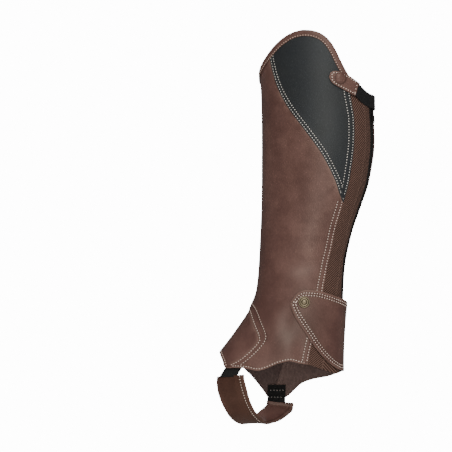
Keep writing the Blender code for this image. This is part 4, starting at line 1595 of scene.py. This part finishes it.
def zip_teeth():
    height = np.linspace(-286.0, 44.0, 900)
    turn = (CHAIN_FRONT(height) + CHAIN_BACK(height)) / 2
    line = on_leg(turn, height, ZIP_OUT + 0.1)
    place, ahead, outward = even_places(line, form_normal(turn, height), TOOTH_PITCH)
    aside = unit(np.cross(outward, ahead))
    swing = TOOTH_SWING * (-1.0) ** np.arange(len(place))
    return [repeat_along(tooth(), place + aside * swing[:, None], ahead, outward, 0.0)]


repeated_piece("zip_teeth", zip_teeth(), TOOTH, "zip_chain", "zip_chain")

# %% [markdown]
# The snap's cap is pressed from sheet brass. One profile from its rim to its crown, spun
# round its axis, gives its plain rings, and each point of it says how polished it is.

# %% Snap cap
SNAP_TURN, SNAP_HEIGHT = 98.2, -205.6
SNAP_PROFILE = (
    # radius in mm, height in mm, how rubbed
    (6.2, 0.0, 0.1), (7.0, 0.25, 0.4), (7.2, 0.7, 0.8), (7.05, 1.15, 1.0), (6.6, 1.5, 0.9),
    (6.1, 1.55, 0.4), (5.75, 1.3, 0.0), (5.4, 1.2, 0.0), (5.0, 1.45, 0.3), (4.6, 1.7, 0.8),
    (4.1, 1.75, 0.7), (3.75, 1.55, 0.1), (3.4, 1.5, 0.0), (3.0, 1.7, 0.3), (2.3, 2.0, 0.6),
    (1.3, 2.2, 0.5), (0.0, 2.3, 0.4),
)


def snap_cap():
    turn, height = np.array(SNAP_TURN), np.array(SNAP_HEIGHT)
    outward = Vector(form_normal(turn, height))
    seat = float(flap_seat(turn, height)) + FLAP_THICK + GAP
    middle = Vector(on_leg(turn, height, seat)) * MM
    across = Vector(unit(round_leg(turn, height)))
    form = new_form()
    wear_and_shading = form.verts.layers.float["wear_and_painted_light"]
    line = []
    for radius, rise, wear_and_painted_light in SNAP_PROFILE:
        vertex = form.verts.new(middle + (across * radius + outward * rise) * MM)
        vertex[wear_and_shading] = wear_and_painted_light
        line.append(vertex)
    edges = [form.edges.new(pair) for pair in zip(line, line[1:])]
    bmesh.ops.spin(
        form, geom=line + edges, cent=middle, axis=outward, angle=math.tau, steps=48,
        use_merge=True,
    )
    bmesh.ops.remove_doubles(form, verts=form.verts, dist=0.005 * MM)
    open_edges = [edge for edge in form.edges if edge.is_boundary]
    bmesh.ops.contextual_create(form, geom=open_edges)
    bmesh.ops.recalc_face_normals(form, faces=form.faces)
    return finish_piece("snap_button", form, (BRASS,), "aged_brass", "snap_cap")


print("snap faces:", len(snap_cap().data.polygons))

# %% [markdown]
# The slider stays as its solid, with a darkened metal finish.

# %% Slider
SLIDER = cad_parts["zip_slider"]
for material_slot in SLIDER.material_slots:
    material_slot.material = DARK_METAL
print("slider slots:", len(SLIDER.material_slots))

# %% [markdown]
# The studio is plain: a pale floor, a white world and five broad lights. The key stands
# above and almost in front, so the leather shows one soft sheen down its outer side. The
# world is bright only to the camera, because its light would wash the leather out.

# %% Studio
FLOOR_HEIGHT = -0.64
FLOOR_HALF = 8.0
LIGHTS_AIM = Vector((0.0, 0.0, -0.1))
BACKDROP = 14.0
ROOM = 0.24
LIGHTS = (
    # name, place, size in metres, watts
    ("key", (0.12, -2.2, 1.1), 0.7, 36.0),
    ("front", (0.1, -2.6, 0.12), 0.5, 5.0),
    ("sheen", (0.22, -2.6, -0.46), 0.45, 8.0),
    ("fill", (1.7, -1.7, 0.3), 1.6, 3.0),
    ("back", (0.6, 1.8, 1.3), 1.4, 12.0),
)


def add_floor():
    form = bmesh.new()
    bmesh.ops.create_grid(form, x_segments=1, y_segments=1, size=FLOOR_HALF)
    bmesh.ops.translate(form, verts=form.verts, vec=(0.0, 0.0, FLOOR_HEIGHT))
    mesh = bpy.data.meshes.new("studio_floor")
    form.to_mesh(mesh)
    form.free()
    floor = bpy.data.objects.new("studio_floor", mesh)
    finish = Finish("pale_floor")
    grain = finish.noise(finish.place(), 40.0)
    finish.colour(finish.mix(grain, rgb(0.86, 0.86, 0.86), rgb(0.90, 0.90, 0.90)))
    mesh.materials.append(finish.set(Roughness=0.9))
    bpy.context.scene.collection.objects.link(floor)


def add_lights():
    for name, place, size, watts in LIGHTS:
        data = bpy.data.lights.new(name, "AREA")
        data.size = size
        data.energy = watts
        light = bpy.data.objects.new(name, data)
        light.location = place
        aim = LIGHTS_AIM - light.location
        light.rotation_euler = aim.to_track_quat("-Z", "Y").to_euler()
        bpy.context.scene.collection.objects.link(light)


def light_world():
    """A dim white room, which the camera sees as a bright backdrop."""
    world = bpy.context.scene.world or bpy.data.worlds.new("studio")
    bpy.context.scene.world = world
    world.use_nodes = True
    background = world.node_tree.nodes["Background"]
    background.inputs["Color"].default_value = rgb(1.0, 1.0, 1.0)
    ray = world.node_tree.nodes.new("ShaderNodeLightPath")
    strength = world.node_tree.nodes.new("ShaderNodeMapRange")
    strength.inputs["To Min"].default_value = ROOM
    strength.inputs["To Max"].default_value = BACKDROP
    world.node_tree.links.new(ray.outputs["Is Camera Ray"], strength.inputs["Value"])
    world.node_tree.links.new(strength.outputs["Result"], background.inputs["Strength"])


add_floor()
add_lights()
light_world()
